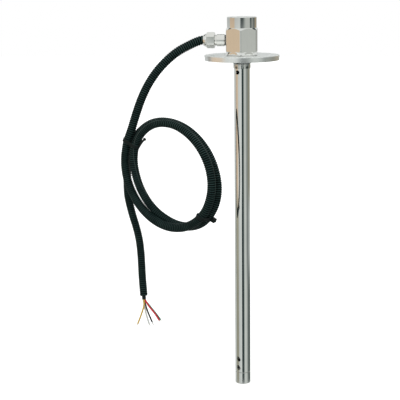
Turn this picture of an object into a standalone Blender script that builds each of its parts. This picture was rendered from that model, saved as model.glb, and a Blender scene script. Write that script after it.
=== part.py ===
"""Capacitive fuel level sensor: a flanged probe tube under a hexagonal head, with a cable gland and a
lead that is coiled, tied and covered by a corrugated conduit.

Lengths are metres and +Z is up. The origin is the centre of the flange's underside, which seats on
the tank. The probe hangs along -Z, and the cable gland points along -X."""

import math

import bmesh
import bpy
from mathutils import Matrix, Vector

# Clearances
GAP = 0.0003                 # left between two pieces that touch
SLIDE = 0.0003               # radial clearance of a piece that sits inside another

# Flange
FLANGE_D = 0.075
FLANGE_T = 0.005
FLANGE_EDGE = 0.0004
BOLT_CIRCLE_D = 0.058
BOLT_HOLE_D = 0.0055
BOLT_COUNT = 4
BOLT_START_DEG = 10.0

# Probe tube and its holes
TUBE_D = 0.016
TUBE_WALL = 0.001
PROBE_LENGTH = 0.340         # below the flange's underside
END_CAP_H = 0.014
END_CAP_EDGE = 0.0009
END_SPIGOT_H = 0.0020
END_RECESS_DEPTH = 0.005
TUBE_HOLE_D = 0.004
VENT_DEPTH = 0.0117          # below the flange's underside
DRAIN_HEIGHTS = (0.0185, 0.0280)   # above the probe's end
HOLE_AZIMUTH_DEG = 30.0      # from -Y towards -X

# Weld collar under the flange: a short cone, then a rounded bead
COLLAR_D = 0.0196
COLLAR_H = 0.0083
COLLAR_LIP_H = 0.0008
COLLAR_CONE_H = 0.0036       # from the flange to the cone's end
COLLAR_NECK_D = 0.0175
BEAD_BULGE = 0.00025
BEAD_STEPS = 6

# Inner electrode and its insulators
ELECTRODE_D = 0.008
ELECTRODE_WALL = 0.001
ELECTRODE_TOP_T = 0.004
STUD_D = 0.005
STUD_ABOVE_NUT = 0.0008
BUSHING_DEPTH = 0.007        # below the flange's underside
BUSHING_TOP = 0.0032         # above the head's floor
BUSHING_NECK_D = 0.0114
BUSHING_BORE_CLEARANCE = 0.0003
BUSHING_GROOVE_DEPTH = 0.0012
BUSHING_GROOVE_W = 0.0020
END_BUSH_WALL = 0.0010
END_BUSH_GRIP = 0.0035       # how far the electrode sits in the end bush
SPACER_H = 0.006
SPACER_COUNT = 3
SPACER_FIRST_DEPTH = 0.070
SPACER_PITCH = 0.085
SPACER_NOTCH_D = 0.0026
SPACER_NOTCHES = 4
LUG_D = 0.009
LUG_T = 0.0006
LUG_TAIL = 0.0068            # from the axis to the tail's end
LUG_TAIL_W = 0.0026
STUD_NUT_AF = 0.008
STUD_NUT_H = 0.004
STUD_NUT_CHAMFER = 0.0005
SIGNAL_WIRE_D = 0.0010
SIGNAL_WIRE_BOW = 0.0005

# Head
HEAD_FOOT_D = 0.0300
HEAD_FOOT_H = 0.0044
HEX_AF = 0.031
HEX_H = 0.0226
HEX_TOP_CHAMFER_D = 0.0302   # where the turned chamfer meets the hexagon's end
HEX_LOW_CHAMFER_D = 0.0340
CHAMFER_SLOPE = math.tan(math.radians(30.0))
HEAD_TOP_D = 0.0296
HEAD_TOP_H = 0.0108
HEAD_TOP_EDGE = 0.0005
HEAD_BORE_D = 0.024
HEAD_FLOOR_T = 0.0035
COVER_RIM_W = 0.0013
COVER_T = 0.0022
COVER_EDGE = 0.0003
COVER_SPIGOT_H = 0.003
COVER_GROOVE_DEPTH = 0.0011
COVER_GROOVE_W = 0.0015

# Electronics
BOARD_MARGIN = 0.0008
BOARD_T = 0.0016
BOARD_HEIGHT = 0.0182        # its underside above the head's floor
POST_D = 0.003
POST_CIRCLE_D = 0.018
POST_COUNT = 3
POST_START_DEG = 0.0
TERMINAL_SIZE = (0.005, 0.006, 0.009)
TERMINAL_X = -0.0075
CHIP_SIZE = (0.007, 0.007, 0.0012)
CHIP_XY = (0.0030, 0.0025)
REGULATOR_SIZE = (0.0045, 0.0035, 0.0015)
REGULATOR_XY = (0.0040, -0.0050)
CAPACITOR_D = 0.005
CAPACITOR_H = 0.006
CAPACITOR_XY = (-0.0050, -0.0015)

# Cable gland, measured outwards from the head's flat
GLAND_HEIGHT = 0.0148        # its axis above the flange's top
GLAND_THREAD_D = 0.009
GLAND_THREAD_INSIDE = 0.0029
WASHER_D = 0.0106
WASHER_T = 0.0008
GLAND_BODY_D = 0.0120
GLAND_BODY_L = 0.0080
GLAND_BODY_EDGE = 0.0005
GLAND_RING_D = 0.0108
GLAND_RING_L = 0.0018
GLAND_NECK_D = 0.0094
GLAND_NECK_L = 0.0072
GLAND_BORE_D = 0.005
NUT_AF = 0.0142
NUT_HEX_L = 0.0084
NUT_DOME_L = 0.0034
NUT_FACE_D = 0.0138          # where the turned chamfer meets the hexagon's end
NUT_DOME_D = 0.0128
NUT_DOME_BULGE = 0.0006
NUT_TIP_D = 0.0098
SEAL_L = 0.0022
CABLE_D = 0.0040

# Conduit: the turns lie one pitch apart
CONDUIT_D = 0.0090
TAIL_D = 0.0083               # it looks a little slimmer past the coil
PITCH = CONDUIT_D + GAP
COIL_HINGE_X = -0.1120             # the coil's plane is turned about an upright line through here
COIL_SWING_DEG = 27.5              # how far its other side swings to the front
COIL_CENTRE = (-0.0679, -0.1141)   # X before the swing, and Z
COIL_LONG_R = 0.0567
COIL_SHORT_R = 0.0483
COIL_TILT_DEG = -45.7              # long axis, from +X
COIL_START_DEG = -175.0
COIL_END_DEG = 596.0
# Turn angle, outward offset and depth behind the first turn, both in pitches.
COIL_KEYS = (
    (-175.0, 0.652, 0.000),
    (-155.0, 0.352, 0.000),
    (-134.0, 0.351, 0.000),
    (-108.0, 0.371, 0.000),
    (-83.0, 0.388, 0.000),
    (-57.0, 0.305, 0.000),
    (-31.0, 0.055, 0.000),
    (-5.0, -0.147, 0.000),
    (26.0, -0.188, 0.000),
    (61.0, 0.005, 0.000),
    (94.0, 0.130, 0.000),
    (121.0, 0.150, 0.000),
    (147.0, -0.043, 0.000),
    (175.0, -0.413, 0.000),
    (208.0, -0.783, 0.000),
    (237.0, -0.964, 0.000),
    (259.0, -0.820, 0.104),
    (273.0, -0.574, 0.296),
    (285.0, -0.331, 0.521),
    (295.0, -0.176, 0.737),
    (306.0, -0.017, 0.903),
    (317.0, 0.109, 0.975),
    (327.0, 0.128, 0.985),
    (338.0, 0.185, 0.985),
    (352.0, 0.199, 0.985),
    (368.0, 0.079, 0.985),
    (390.0, 0.040, 0.986),
    (422.0, -0.070, 0.988),
    (452.0, -0.093, 0.989),
    (477.0, -0.072, 0.994),
    (500.0, -0.046, 1.000),
    (522.0, 0.075, 1.006),
    (541.0, 0.139, 1.012),
    (556.0, 0.372, 1.017),
    (571.0, 0.561, 1.022),
    (584.0, 0.832, 1.026),
    (596.0, 1.085, 1.030),
)
COIL_SECTION_SIDES = 16
COIL_STEP_DEG = 7.5
COIL_SHOULDER_DEG = 0.1               # how steeply the ring steps where a strand joins or leaves it
SECTION_BLEND = 9.0                   # how sharply a section turns from one strand to the next
CONDUIT_STEP = 2.0 * CONDUIT_D        # between the points of a straight stretch
LEAD_STRAIGHT = 0.4 * CONDUIT_D       # stiff part in the gland's mouth

# Route of the straight stretches, in metres, chosen by hand. The first follows the gland's end.
LEAD_ROUTE = (
    (-0.0520, 0.0, 0.0154),
    (-0.0666, 0.0, 0.0074),
    (-0.0829, 0.0, -0.0073),
    (-0.0947, 0.0, -0.0232),
    (-0.1028, 0.0, -0.0392),
    (-0.1090, 0.0009, -0.0556),
)
TAIL_ROUTE = (
    (-0.1219, 0.0146, -0.1403),
    (-0.1197, 0.0144, -0.1527),
    (-0.1166, 0.0133, -0.1649),
    (-0.1130, 0.0119, -0.1761),
    (-0.1098, 0.0102, -0.1895),
    (-0.1079, 0.0080, -0.2053),
    (-0.1068, 0.0054, -0.2264),
    (-0.1055, 0.0036, -0.2424),
    (-0.1051, 0.0032, -0.2481),
)
SHEATH_D = 0.0040
SHEATH_L = 0.0042
WIRE_D = 0.0013
WIRE_CIRCLE_D = 0.0026
# Each wire's angle around the sheath's axis, in degrees from +X, and the points that it runs through.
WIRES = {
    "wire_yellow": (270.0, ((-0.1050, 0.0015, -0.2591), (-0.1078, 0.0010, -0.2683),
                            (-0.1116, 0.0002, -0.2794))),
    "wire_red": (342.0, ((-0.0994, 0.0018, -0.2598), (-0.0935, 0.0015, -0.2672),
                         (-0.0884, 0.0015, -0.2748))),
    "wire_green": (54.0, ((-0.0988, 0.0036, -0.2600), (-0.0928, 0.0033, -0.2675),
                          (-0.0872, 0.0031, -0.2749))),
    "wire_black": (126.0, ((-0.1038, 0.0043, -0.2580), (-0.1015, 0.0043, -0.2661),
                           (-0.0964, 0.0041, -0.2787), (-0.0953, 0.0040, -0.2806))),
    "wire_white": (198.0, ((-0.1048, 0.0031, -0.2585), (-0.1029, 0.0031, -0.2690),
                           (-0.1001, 0.0031, -0.2790), (-0.0987, 0.0031, -0.2817))),
}

# Cable ties: turn angle of the coil, lean of the strap in degrees, side that the head is on in degrees
# from outwards towards the back, and the turn angle that the trimmed tail reaches back to, if it shows
TIE_W = 0.0036
TIE_T = 0.0011
TIE_CLEARANCE = 0.0010
TIE_SPAN_DEG = 6.0           # how far to either side a strand is followed under the strap
TIE_SPAN_STEPS = 12
TIE_HEAD = (0.0046, 0.0050, 0.0042)
TIE_HEAD_EDGE = 0.0004
TIE_TAIL_T = 0.0009
TIE_TAIL_W = 0.0024
TIES = {
    "cable_tie_upper": (-161.5, -2.7, 112.5, -172.0),
    "cable_tie_lower": (1.0, -21.5, 0.0, None),
}

# Fineness of the round shapes and of the thin routes
ROUND_LARGE = 64
ROUND_HEAD = 48
ROUND_MEDIUM = 36
ROUND_INNER = 32
ROUND_SMALL = 24
ROUND_FEW = 12
CORNER_MARGIN = 1.02         # a turned blank stands this much proud of its hexagon's corners
CABLE_STEP = 0.007
WIRE_STEP = 0.0032

# Heights worked out from the sizes above
PROBE_END = -PROBE_LENGTH
TUBE_END = PROBE_END + END_CAP_H
TUBE_TOP = FLANGE_T - GAP
HEAD_FOOT = FLANGE_T + GAP
HEX_LOW = FLANGE_T + HEAD_FOOT_H
HEX_HIGH = HEX_LOW + HEX_H
HEAD_TOP = HEX_HIGH + HEAD_TOP_H
HEAD_FLOOR = HEAD_FOOT + HEAD_FLOOR_T
BUSHING_END = HEAD_FLOOR + BUSHING_TOP
LUG_Z = BUSHING_END + GAP
STUD_NUT_Z = LUG_Z + LUG_T + GAP
STUD_TOP = STUD_NUT_Z + STUD_NUT_H + STUD_ABOVE_NUT
BOARD_Z = HEAD_FLOOR + BOARD_HEIGHT
BOARD_TOP = BOARD_Z + BOARD_T
COVER_LEDGE = HEAD_TOP - COVER_T - GAP
GLAND_Z = FLANGE_T + GLAND_HEIGHT
TUBE_R = TUBE_D / 2
TUBE_BORE_R = TUBE_R - TUBE_WALL
HEX_CORNER_R = HEX_AF / math.sqrt(3.0)
HEAD_FLAT = HEX_AF / 2
COVER_R = HEAD_TOP_D / 2 - COVER_RIM_W - SLIDE
END_RECESS_R = ELECTRODE_D / 2 + END_BUSH_WALL + 2 * SLIDE

# Distances outwards from the head's axis, along the gland
WASHER_AT = HEAD_FLAT + GAP
GLAND_BODY_AT = WASHER_AT + WASHER_T + GAP
GLAND_RING_AT = GLAND_BODY_AT + GLAND_BODY_L
GLAND_NECK_AT = GLAND_RING_AT + GLAND_RING_L
GLAND_NECK_END = GLAND_NECK_AT + GLAND_NECK_L
NUT_AT = GLAND_NECK_AT + GAP
NUT_DOME_AT = NUT_AT + NUT_HEX_L
NUT_END = NUT_DOME_AT + NUT_DOME_L
SEAL_AT = GLAND_NECK_END + GAP
SEAL_END = SEAL_AT + SEAL_L
CONDUIT_START = NUT_END + GAP


def clear_scene():
    for obj in list(bpy.data.objects):
        bpy.data.objects.remove(obj, do_unlink=True)


def new_collection(name):
    group = bpy.data.collections.new(name)
    bpy.context.scene.collection.children.link(group)
    return group


def material(name, colour, roughness, metallic=0.0):
    mat = bpy.data.materials.new(name)
    mat.use_nodes = True
    shader = mat.node_tree.nodes["Principled BSDF"]
    shader.inputs["Base Color"].default_value = (*colour, 1.0)
    shader.inputs["Roughness"].default_value = roughness
    shader.inputs["Metallic"].default_value = metallic
    return mat


def place(obj, group, mat=None):
    """Puts an object in one collection only and gives it its material."""
    for other in list(obj.users_collection):
        other.objects.unlink(obj)
    group.objects.link(obj)
    if mat is not None:
        obj.data.materials.clear()
        obj.data.materials.append(mat)
    return obj


def mesh_object(name, bm, group, mat=None):
    mesh = bpy.data.meshes.new(name)
    bm.to_mesh(mesh)
    bm.free()
    return place(bpy.data.objects.new(name, mesh), group, mat)


def turned(name, profile, group, mat=None, steps=ROUND_MEDIUM, closed=False):
    """Turns a profile of (radius, height) points about Z. A closed profile makes a ring. An open one
    starts and ends on the axis. Either runs down its outer side."""
    bm = bmesh.new()
    verts = [bm.verts.new((radius, 0.0, height)) for radius, height in profile]
    pairs = list(zip(verts, verts[1:]))
    if closed:
        pairs.append((verts[-1], verts[0]))
    for pair in pairs:
        bm.edges.new(pair)
    obj = mesh_object(name, bm, group, mat)
    screw = obj.modifiers.new("Turn", "SCREW")
    screw.steps = steps
    screw.render_steps = steps
    screw.use_merge_vertices = True
    screw.merge_threshold = 0.00001
    screw.use_smooth_shade = True
    return obj


def as_cutter(obj):
    obj.hide_render = True
    obj.display_type = "WIRE"
    return obj


def boolean(obj, other, operation):
    mod = obj.modifiers.new(operation.title(), "BOOLEAN")
    mod.operation = operation
    mod.solver = "EXACT"
    mod.object = other
    return obj


def cylinder(name, radius, length, group, mat=None, steps=ROUND_SMALL):
    """A cylinder about Z, centred on its own origin."""
    bm = bmesh.new()
    bmesh.ops.create_cone(bm, cap_ends=True, segments=steps, radius1=radius, radius2=radius, depth=length)
    return mesh_object(name, bm, group, mat)


def hexagon(name, across_flats, length, group, turn_deg=0.0):
    """A hexagonal bar about Z. Before its turn, two of its flats face -X and +X."""
    bm = bmesh.new()
    corner_r = across_flats / math.sqrt(3.0)
    bmesh.ops.create_cone(bm, cap_ends=True, segments=6, radius1=corner_r, radius2=corner_r, depth=length)
    turn = Matrix.Rotation(math.radians(turn_deg), 3, "Z")
    bmesh.ops.rotate(bm, verts=bm.verts, cent=(0, 0, 0), matrix=turn)
    return as_cutter(mesh_object(name, bm, group))


def block(name, size, centre, group, mat=None, edge=0.0002):
    bm = bmesh.new()
    bmesh.ops.create_cube(bm, size=1.0)
    bmesh.ops.scale(bm, vec=size, verts=bm.verts)
    obj = mesh_object(name, bm, group, mat)
    obj.location = centre
    if edge:
        bevel = obj.modifiers.new("Edges", "BEVEL")
        bevel.width = edge
        bevel.segments = 1
    return obj


def torus(name, major_r, minor_r, height, group, mat):
    bpy.ops.mesh.primitive_torus_add(major_radius=major_r, minor_radius=minor_r, major_segments=ROUND_SMALL,
                                     minor_segments=6, location=(0, 0, height))
    obj = bpy.context.object
    obj.name = name
    obj.data.shade_smooth()
    return place(obj, group, mat)


def smooth_route(points, spacing):
    """Evenly spaced points on a smooth curve through the route's own points."""
    route = [Vector(p) for p in points]
    route = [2 * route[0] - route[1]] + route + [2 * route[-1] - route[-2]]
    fine = []
    for a, b, c, d in zip(route, route[1:], route[2:], route[3:]):
        for i in range(24):
            t = i / 24
            fine.append(0.5 * (2 * b + (c - a) * t + (2 * a - 5 * b + 4 * c - d) * t ** 2
                               + (3 * b - a - 3 * c + d) * t ** 3))
    fine.append(route[-2])
    lengths = [0.0]
    for a, b in zip(fine, fine[1:]):
        lengths.append(lengths[-1] + (b - a).length)
    count = max(2, round(lengths[-1] / spacing))
    result = []
    at = 0
    for i in range(count + 1):
        want = lengths[-1] * i / count
        while at < len(fine) - 2 and lengths[at + 1] < want:
            at += 1
        share = (want - lengths[at]) / (lengths[at + 1] - lengths[at])
        result.append(fine[at].lerp(fine[at + 1], share))
    return result


def tube(name, points, diameter, group, mat, sides=3):
    """A plain round tube along a route, with closed ends."""
    curve = bpy.data.curves.new(name, "CURVE")
    curve.dimensions = "3D"
    curve.bevel_depth = diameter / 2
    curve.bevel_resolution = sides
    curve.use_fill_caps = True
    spline = curve.splines.new("POLY")
    spline.points.add(len(points) - 1)
    for point, co in zip(spline.points, points):
        point.co = (*co, 1.0)
    spline.use_smooth = True
    return place(bpy.data.objects.new(name, curve), group, mat)


def outline(name, loops, thickness, group):
    """A flat piece with the given outer and inner loops, as a mesh centred on its own XY plane."""
    curve = bpy.data.curves.new(name, "CURVE")
    curve.dimensions = "2D"
    curve.fill_mode = "BOTH"
    curve.extrude = thickness / 2
    for loop in loops:
        spline = curve.splines.new("POLY")
        spline.points.add(len(loop) - 1)
        for point, (x, y) in zip(spline.points, loop):
            point.co = (x, y, 0.0, 1.0)
        spline.use_cyclic_u = True
    source = place(bpy.data.objects.new(name + "_outline", curve), group)
    return meshed(source, name, group)


def meshed(source, name, group, mat=None):
    """Replaces an object by a welded mesh of what it evaluates to."""
    bpy.context.view_layer.update()
    evaluated = source.evaluated_get(bpy.context.evaluated_depsgraph_get())
    mesh = bpy.data.meshes.new_from_object(evaluated)
    bm = bmesh.new()
    bm.from_mesh(mesh)
    bmesh.ops.remove_doubles(bm, verts=bm.verts, dist=0.000001)
    bm.to_mesh(mesh)
    bm.free()
    obj = bpy.data.objects.new(name, mesh)
    obj.matrix_world = source.matrix_world
    bpy.data.objects.remove(source, do_unlink=True)
    obj.name = name
    return place(obj, group, mat)


def along_gland(obj):
    """Lays a piece that was turned about Z along the gland, so that its height runs outwards."""
    obj.location = (0.0, 0.0, GLAND_Z)
    obj.rotation_euler = (0.0, -math.pi / 2, 0.0)
    return obj


def make_flange(parts, cutters, mat):
    r = FLANGE_D / 2
    bore_r = TUBE_R + SLIDE
    flange = turned("flange", [(r - FLANGE_EDGE, FLANGE_T), (r, FLANGE_T - FLANGE_EDGE), (r, FLANGE_EDGE),
                               (r - FLANGE_EDGE, 0.0), (bore_r, 0.0), (bore_r, FLANGE_T)],
                    parts, mat, ROUND_LARGE, closed=True)
    for i in range(BOLT_COUNT):
        angle = math.radians(BOLT_START_DEG + i * 360.0 / BOLT_COUNT)
        cutter = as_cutter(cylinder(f"bolt_hole_{i + 1}", BOLT_HOLE_D / 2, 3 * FLANGE_T, cutters))
        cutter.location = (BOLT_CIRCLE_D / 2 * math.cos(angle), BOLT_CIRCLE_D / 2 * math.sin(angle), FLANGE_T / 2)
        boolean(flange, cutter, "DIFFERENCE")


def make_collar(parts, mat):
    """The weld bead where the probe meets the flange: a short cone, then a rounded bead."""
    inner_r = TUBE_R + SLIDE
    neck_r = COLLAR_NECK_D / 2
    profile = [(COLLAR_D / 2, -GAP), (COLLAR_D / 2, -COLLAR_LIP_H)]
    for i in range(BEAD_STEPS + 1):
        share = i / BEAD_STEPS
        radius = neck_r + BEAD_BULGE * math.sin(math.pi * share)
        profile.append((radius, -COLLAR_CONE_H - (COLLAR_H - COLLAR_CONE_H) * share))
    profile += [(inner_r, -COLLAR_H), (inner_r, -GAP)]
    turned("probe_collar", profile, parts, mat, closed=True)


def make_outer_tube(parts, cutters, mat):
    pipe = turned("outer_tube", [(TUBE_R, TUBE_TOP), (TUBE_R, TUBE_END), (TUBE_BORE_R, TUBE_END),
                                 (TUBE_BORE_R, TUBE_TOP)], parts, mat, closed=True)
    azimuth = math.radians(HOLE_AZIMUTH_DEG)
    outwards = Vector((-math.sin(azimuth), -math.cos(azimuth), 0.0))
    heights = [-VENT_DEPTH] + [PROBE_END + height for height in DRAIN_HEIGHTS]
    for i, height in enumerate(heights):
        cutter = as_cutter(cylinder(f"tube_hole_{i + 1}", TUBE_HOLE_D / 2, TUBE_D, cutters))
        cutter.location = outwards * TUBE_R + Vector((0.0, 0.0, height))
        cutter.rotation_euler = outwards.to_track_quat("Z", "Y").to_euler()
        boolean(pipe, cutter, "DIFFERENCE")


def make_end_cap(parts, mat):
    shoulder = TUBE_END - GAP
    spigot_r = TUBE_BORE_R - SLIDE
    spigot_top = shoulder + END_SPIGOT_H
    recess = spigot_top - END_RECESS_DEPTH
    turned("end_cap", [(0.0, recess), (END_RECESS_R, recess), (END_RECESS_R, spigot_top),
                       (spigot_r, spigot_top), (spigot_r, shoulder), (TUBE_R, shoulder),
                       (TUBE_R, PROBE_END + END_CAP_EDGE), (TUBE_R - END_CAP_EDGE, PROBE_END),
                       (0.0, PROBE_END)], parts, mat)
    return recess


def make_electrode(parts, insulator, metal, rubber, recess):
    """The inner electrode with its stud, the bushing that seals it and the bush that centres its end."""
    bush_low = recess + GAP
    rod_r = ELECTRODE_D / 2
    seat = bush_low + END_BUSH_WALL
    rod_low = seat + GAP
    bush_high = rod_low + END_BUSH_GRIP
    bush_r = END_RECESS_R - SLIDE
    bush_bore_r = rod_r + SLIDE
    turned("electrode_end_bush", [(0.0, seat), (bush_bore_r, seat), (bush_bore_r, bush_high),
                                  (bush_r, bush_high), (bush_r, bush_low), (0.0, bush_low)],
           parts, insulator, ROUND_SMALL)
    bushing_low = -BUSHING_DEPTH
    rod_top = bushing_low - GAP
    stud_r = STUD_D / 2
    bore_r = rod_r - ELECTRODE_WALL
    turned("inner_electrode", [(0.0, STUD_TOP), (stud_r, STUD_TOP), (stud_r, rod_top), (rod_r, rod_top),
                               (rod_r, rod_low), (bore_r, rod_low), (bore_r, rod_top - ELECTRODE_TOP_T),
                               (0.0, rod_top - ELECTRODE_TOP_T)], parts, metal, ROUND_SMALL)
    neck_r = BUSHING_NECK_D / 2
    wide_r = TUBE_BORE_R - SLIDE
    shoulder = HEAD_FOOT - GAP
    groove_r = wide_r - BUSHING_GROOVE_DEPTH
    groove_low = (bushing_low + shoulder) / 2
    groove_high = groove_low + BUSHING_GROOVE_W
    hole_r = stud_r + BUSHING_BORE_CLEARANCE
    turned("electrode_bushing", [(neck_r, BUSHING_END), (neck_r, shoulder), (wide_r, shoulder),
                                 (wide_r, groove_high), (groove_r, groove_high), (groove_r, groove_low),
                                 (wide_r, groove_low), (wide_r, bushing_low), (hole_r, bushing_low),
                                 (hole_r, BUSHING_END)], parts, insulator, ROUND_INNER, closed=True)
    torus("bushing_o_ring", (groove_r + TUBE_BORE_R) / 2, (TUBE_BORE_R - groove_r) / 2 - GAP,
          groove_low + BUSHING_GROOVE_W / 2, parts, rubber)


def make_spacers(parts, cutters, mat):
    """Notched rings that keep the electrode centred and let the fuel past."""
    first = turned("spacer_1", [(TUBE_BORE_R - SLIDE, SPACER_H / 2), (TUBE_BORE_R - SLIDE, -SPACER_H / 2),
                                (ELECTRODE_D / 2 + SLIDE, -SPACER_H / 2), (ELECTRODE_D / 2 + SLIDE, SPACER_H / 2)],
                   parts, mat, ROUND_INNER, closed=True)
    for i in range(SPACER_NOTCHES):
        angle = math.radians((i + 0.5) * 360.0 / SPACER_NOTCHES)
        cutter = as_cutter(cylinder(f"spacer_notch_{i + 1}", SPACER_NOTCH_D / 2, 2 * SPACER_H, cutters,
                                    steps=ROUND_FEW))
        cutter.location = (TUBE_BORE_R * math.cos(angle), TUBE_BORE_R * math.sin(angle), 0.0)
        boolean(first, cutter, "DIFFERENCE")
    first = meshed(first, "spacer_1", parts, mat)
    for i in range(SPACER_COUNT):
        spacer = first if i == 0 else place(bpy.data.objects.new(f"spacer_{i + 1}", first.data), parts)
        spacer.location = (0.0, 0.0, -SPACER_FIRST_DEPTH - i * SPACER_PITCH)


def make_stud_fittings(parts, cutters, metal, copper):
    """The contact lug and nut on the electrode's stud, and the wire from the lug to the board."""
    hole_r = STUD_D / 2 + SLIDE
    lug = turned("contact_lug", [(LUG_D / 2, LUG_Z + LUG_T), (LUG_D / 2, LUG_Z), (hole_r, LUG_Z),
                                 (hole_r, LUG_Z + LUG_T)], parts, copper, ROUND_SMALL, closed=True)
    tail_start = (hole_r + LUG_D / 2) / 2
    tail = block("lug_tail", (LUG_TAIL - tail_start, LUG_TAIL_W, LUG_T),
                 ((LUG_TAIL + tail_start) / 2, 0.0, LUG_Z + LUG_T / 2), cutters, edge=0.0)
    boolean(lug, as_cutter(tail), "UNION")
    nut_top = STUD_NUT_Z + STUD_NUT_H
    corner_r = STUD_NUT_AF / math.sqrt(3.0)
    nut = turned("stud_nut", [(corner_r - STUD_NUT_CHAMFER, nut_top), (corner_r, nut_top - STUD_NUT_CHAMFER),
                              (corner_r, STUD_NUT_Z), (hole_r, STUD_NUT_Z), (hole_r, nut_top)],
                 parts, metal, ROUND_SMALL, closed=True)
    flats = hexagon("stud_nut_flats", STUD_NUT_AF, 4 * STUD_NUT_H, cutters)
    flats.location = (0.0, 0.0, STUD_NUT_Z)
    boolean(nut, flats, "INTERSECT")
    wire_x = LUG_TAIL - SIGNAL_WIRE_D
    wire_low = LUG_Z + LUG_T + GAP
    wire_high = BOARD_Z - GAP
    wire = [(wire_x, 0.0, wire_low), (wire_x + SIGNAL_WIRE_BOW, 0.0, (wire_low + wire_high) / 2),
            (wire_x, 0.0, wire_high)]
    tube("signal_wire", smooth_route(wire, WIRE_STEP), SIGNAL_WIRE_D, parts, copper, 2)


def make_head(parts, cutters, mat):
    """The hexagonal head: a round foot, a hexagon with turned chamfers and a round top, all one bar."""
    foot_r = HEAD_FOOT_D / 2
    top_r = HEAD_TOP_D / 2
    bore_r = HEAD_BORE_D / 2
    ledge_r = COVER_R + SLIDE
    high_r = HEX_TOP_CHAMFER_D / 2
    low_r = HEX_LOW_CHAMFER_D / 2
    corner_r = HEX_CORNER_R * CORNER_MARGIN
    high_drop = (corner_r - high_r) * CHAMFER_SLOPE
    low_rise = (corner_r - low_r) * CHAMFER_SLOPE
    hole_r = BUSHING_NECK_D / 2 + SLIDE
    head = turned("head_housing", [
        (top_r - HEAD_TOP_EDGE, HEAD_TOP), (top_r, HEAD_TOP - HEAD_TOP_EDGE), (top_r, HEX_HIGH),
        (high_r, HEX_HIGH), (corner_r, HEX_HIGH - high_drop), (corner_r, HEX_LOW + low_rise),
        (low_r, HEX_LOW), (foot_r, HEX_LOW), (foot_r, HEAD_FOOT), (hole_r, HEAD_FOOT), (hole_r, HEAD_FLOOR),
        (bore_r, HEAD_FLOOR), (bore_r, COVER_LEDGE), (ledge_r, COVER_LEDGE), (ledge_r, HEAD_TOP)],
        parts, mat, ROUND_HEAD, closed=True)
    flats = hexagon("head_flats", HEX_AF, 3 * HEAD_TOP, cutters)
    flats.location = (0.0, 0.0, (HEX_LOW + HEX_HIGH) / 2)
    boolean(head, flats, "INTERSECT")
    entry = as_cutter(cylinder("gland_entry", GLAND_THREAD_D / 2 + SLIDE, HEX_AF, cutters))
    along_gland(entry)
    entry.location.x = -HEX_AF / 2 - HEAD_BORE_D / 4
    boolean(head, entry, "DIFFERENCE")


def make_cover(parts, metal, rubber):
    spigot_r = HEAD_BORE_D / 2 - SLIDE
    spigot_low = COVER_LEDGE - COVER_SPIGOT_H
    groove_r = spigot_r - COVER_GROOVE_DEPTH
    groove_low = spigot_low + (COVER_SPIGOT_H - COVER_GROOVE_W) / 2
    groove_high = groove_low + COVER_GROOVE_W
    under = COVER_LEDGE + GAP
    turned("head_cover", [(0.0, HEAD_TOP), (COVER_R - COVER_EDGE, HEAD_TOP), (COVER_R, HEAD_TOP - COVER_EDGE),
                          (COVER_R, under), (spigot_r, under), (spigot_r, groove_high), (groove_r, groove_high),
                          (groove_r, groove_low), (spigot_r, groove_low), (spigot_r, spigot_low),
                          (0.0, spigot_low)], parts, metal)
    bore_r = HEAD_BORE_D / 2
    torus("cover_o_ring", (groove_r + bore_r) / 2, (bore_r - groove_r) / 2 - GAP,
          (groove_low + groove_high) / 2, parts, rubber)


def make_electronics(parts, board_mat, chip_mat, terminal_mat, can_mat, brass):
    board = cylinder("circuit_board", HEAD_BORE_D / 2 - BOARD_MARGIN, BOARD_T, parts, board_mat, ROUND_MEDIUM)
    board.location = (0.0, 0.0, BOARD_Z + BOARD_T / 2)
    post_h = BOARD_Z - HEAD_FLOOR - 2 * GAP
    for i in range(POST_COUNT):
        angle = math.radians(POST_START_DEG + i * 360.0 / POST_COUNT)
        post = cylinder(f"board_post_{i + 1}", POST_D / 2, post_h, parts, brass, ROUND_FEW)
        post.location = (POST_CIRCLE_D / 2 * math.cos(angle), POST_CIRCLE_D / 2 * math.sin(angle),
                         HEAD_FLOOR + GAP + post_h / 2)
    block("terminal_block", TERMINAL_SIZE, (TERMINAL_X, 0.0, BOARD_Z - GAP - TERMINAL_SIZE[2] / 2), parts,
          terminal_mat)
    block("sensor_chip", CHIP_SIZE, (*CHIP_XY, BOARD_TOP + GAP + CHIP_SIZE[2] / 2), parts, chip_mat)
    block("voltage_regulator", REGULATOR_SIZE, (*REGULATOR_XY, BOARD_TOP + GAP + REGULATOR_SIZE[2] / 2), parts,
          chip_mat)
    can = cylinder("filter_capacitor", CAPACITOR_D / 2, CAPACITOR_H, parts, can_mat)
    can.location = (*CAPACITOR_XY, BOARD_TOP + GAP + CAPACITOR_H / 2)


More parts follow.
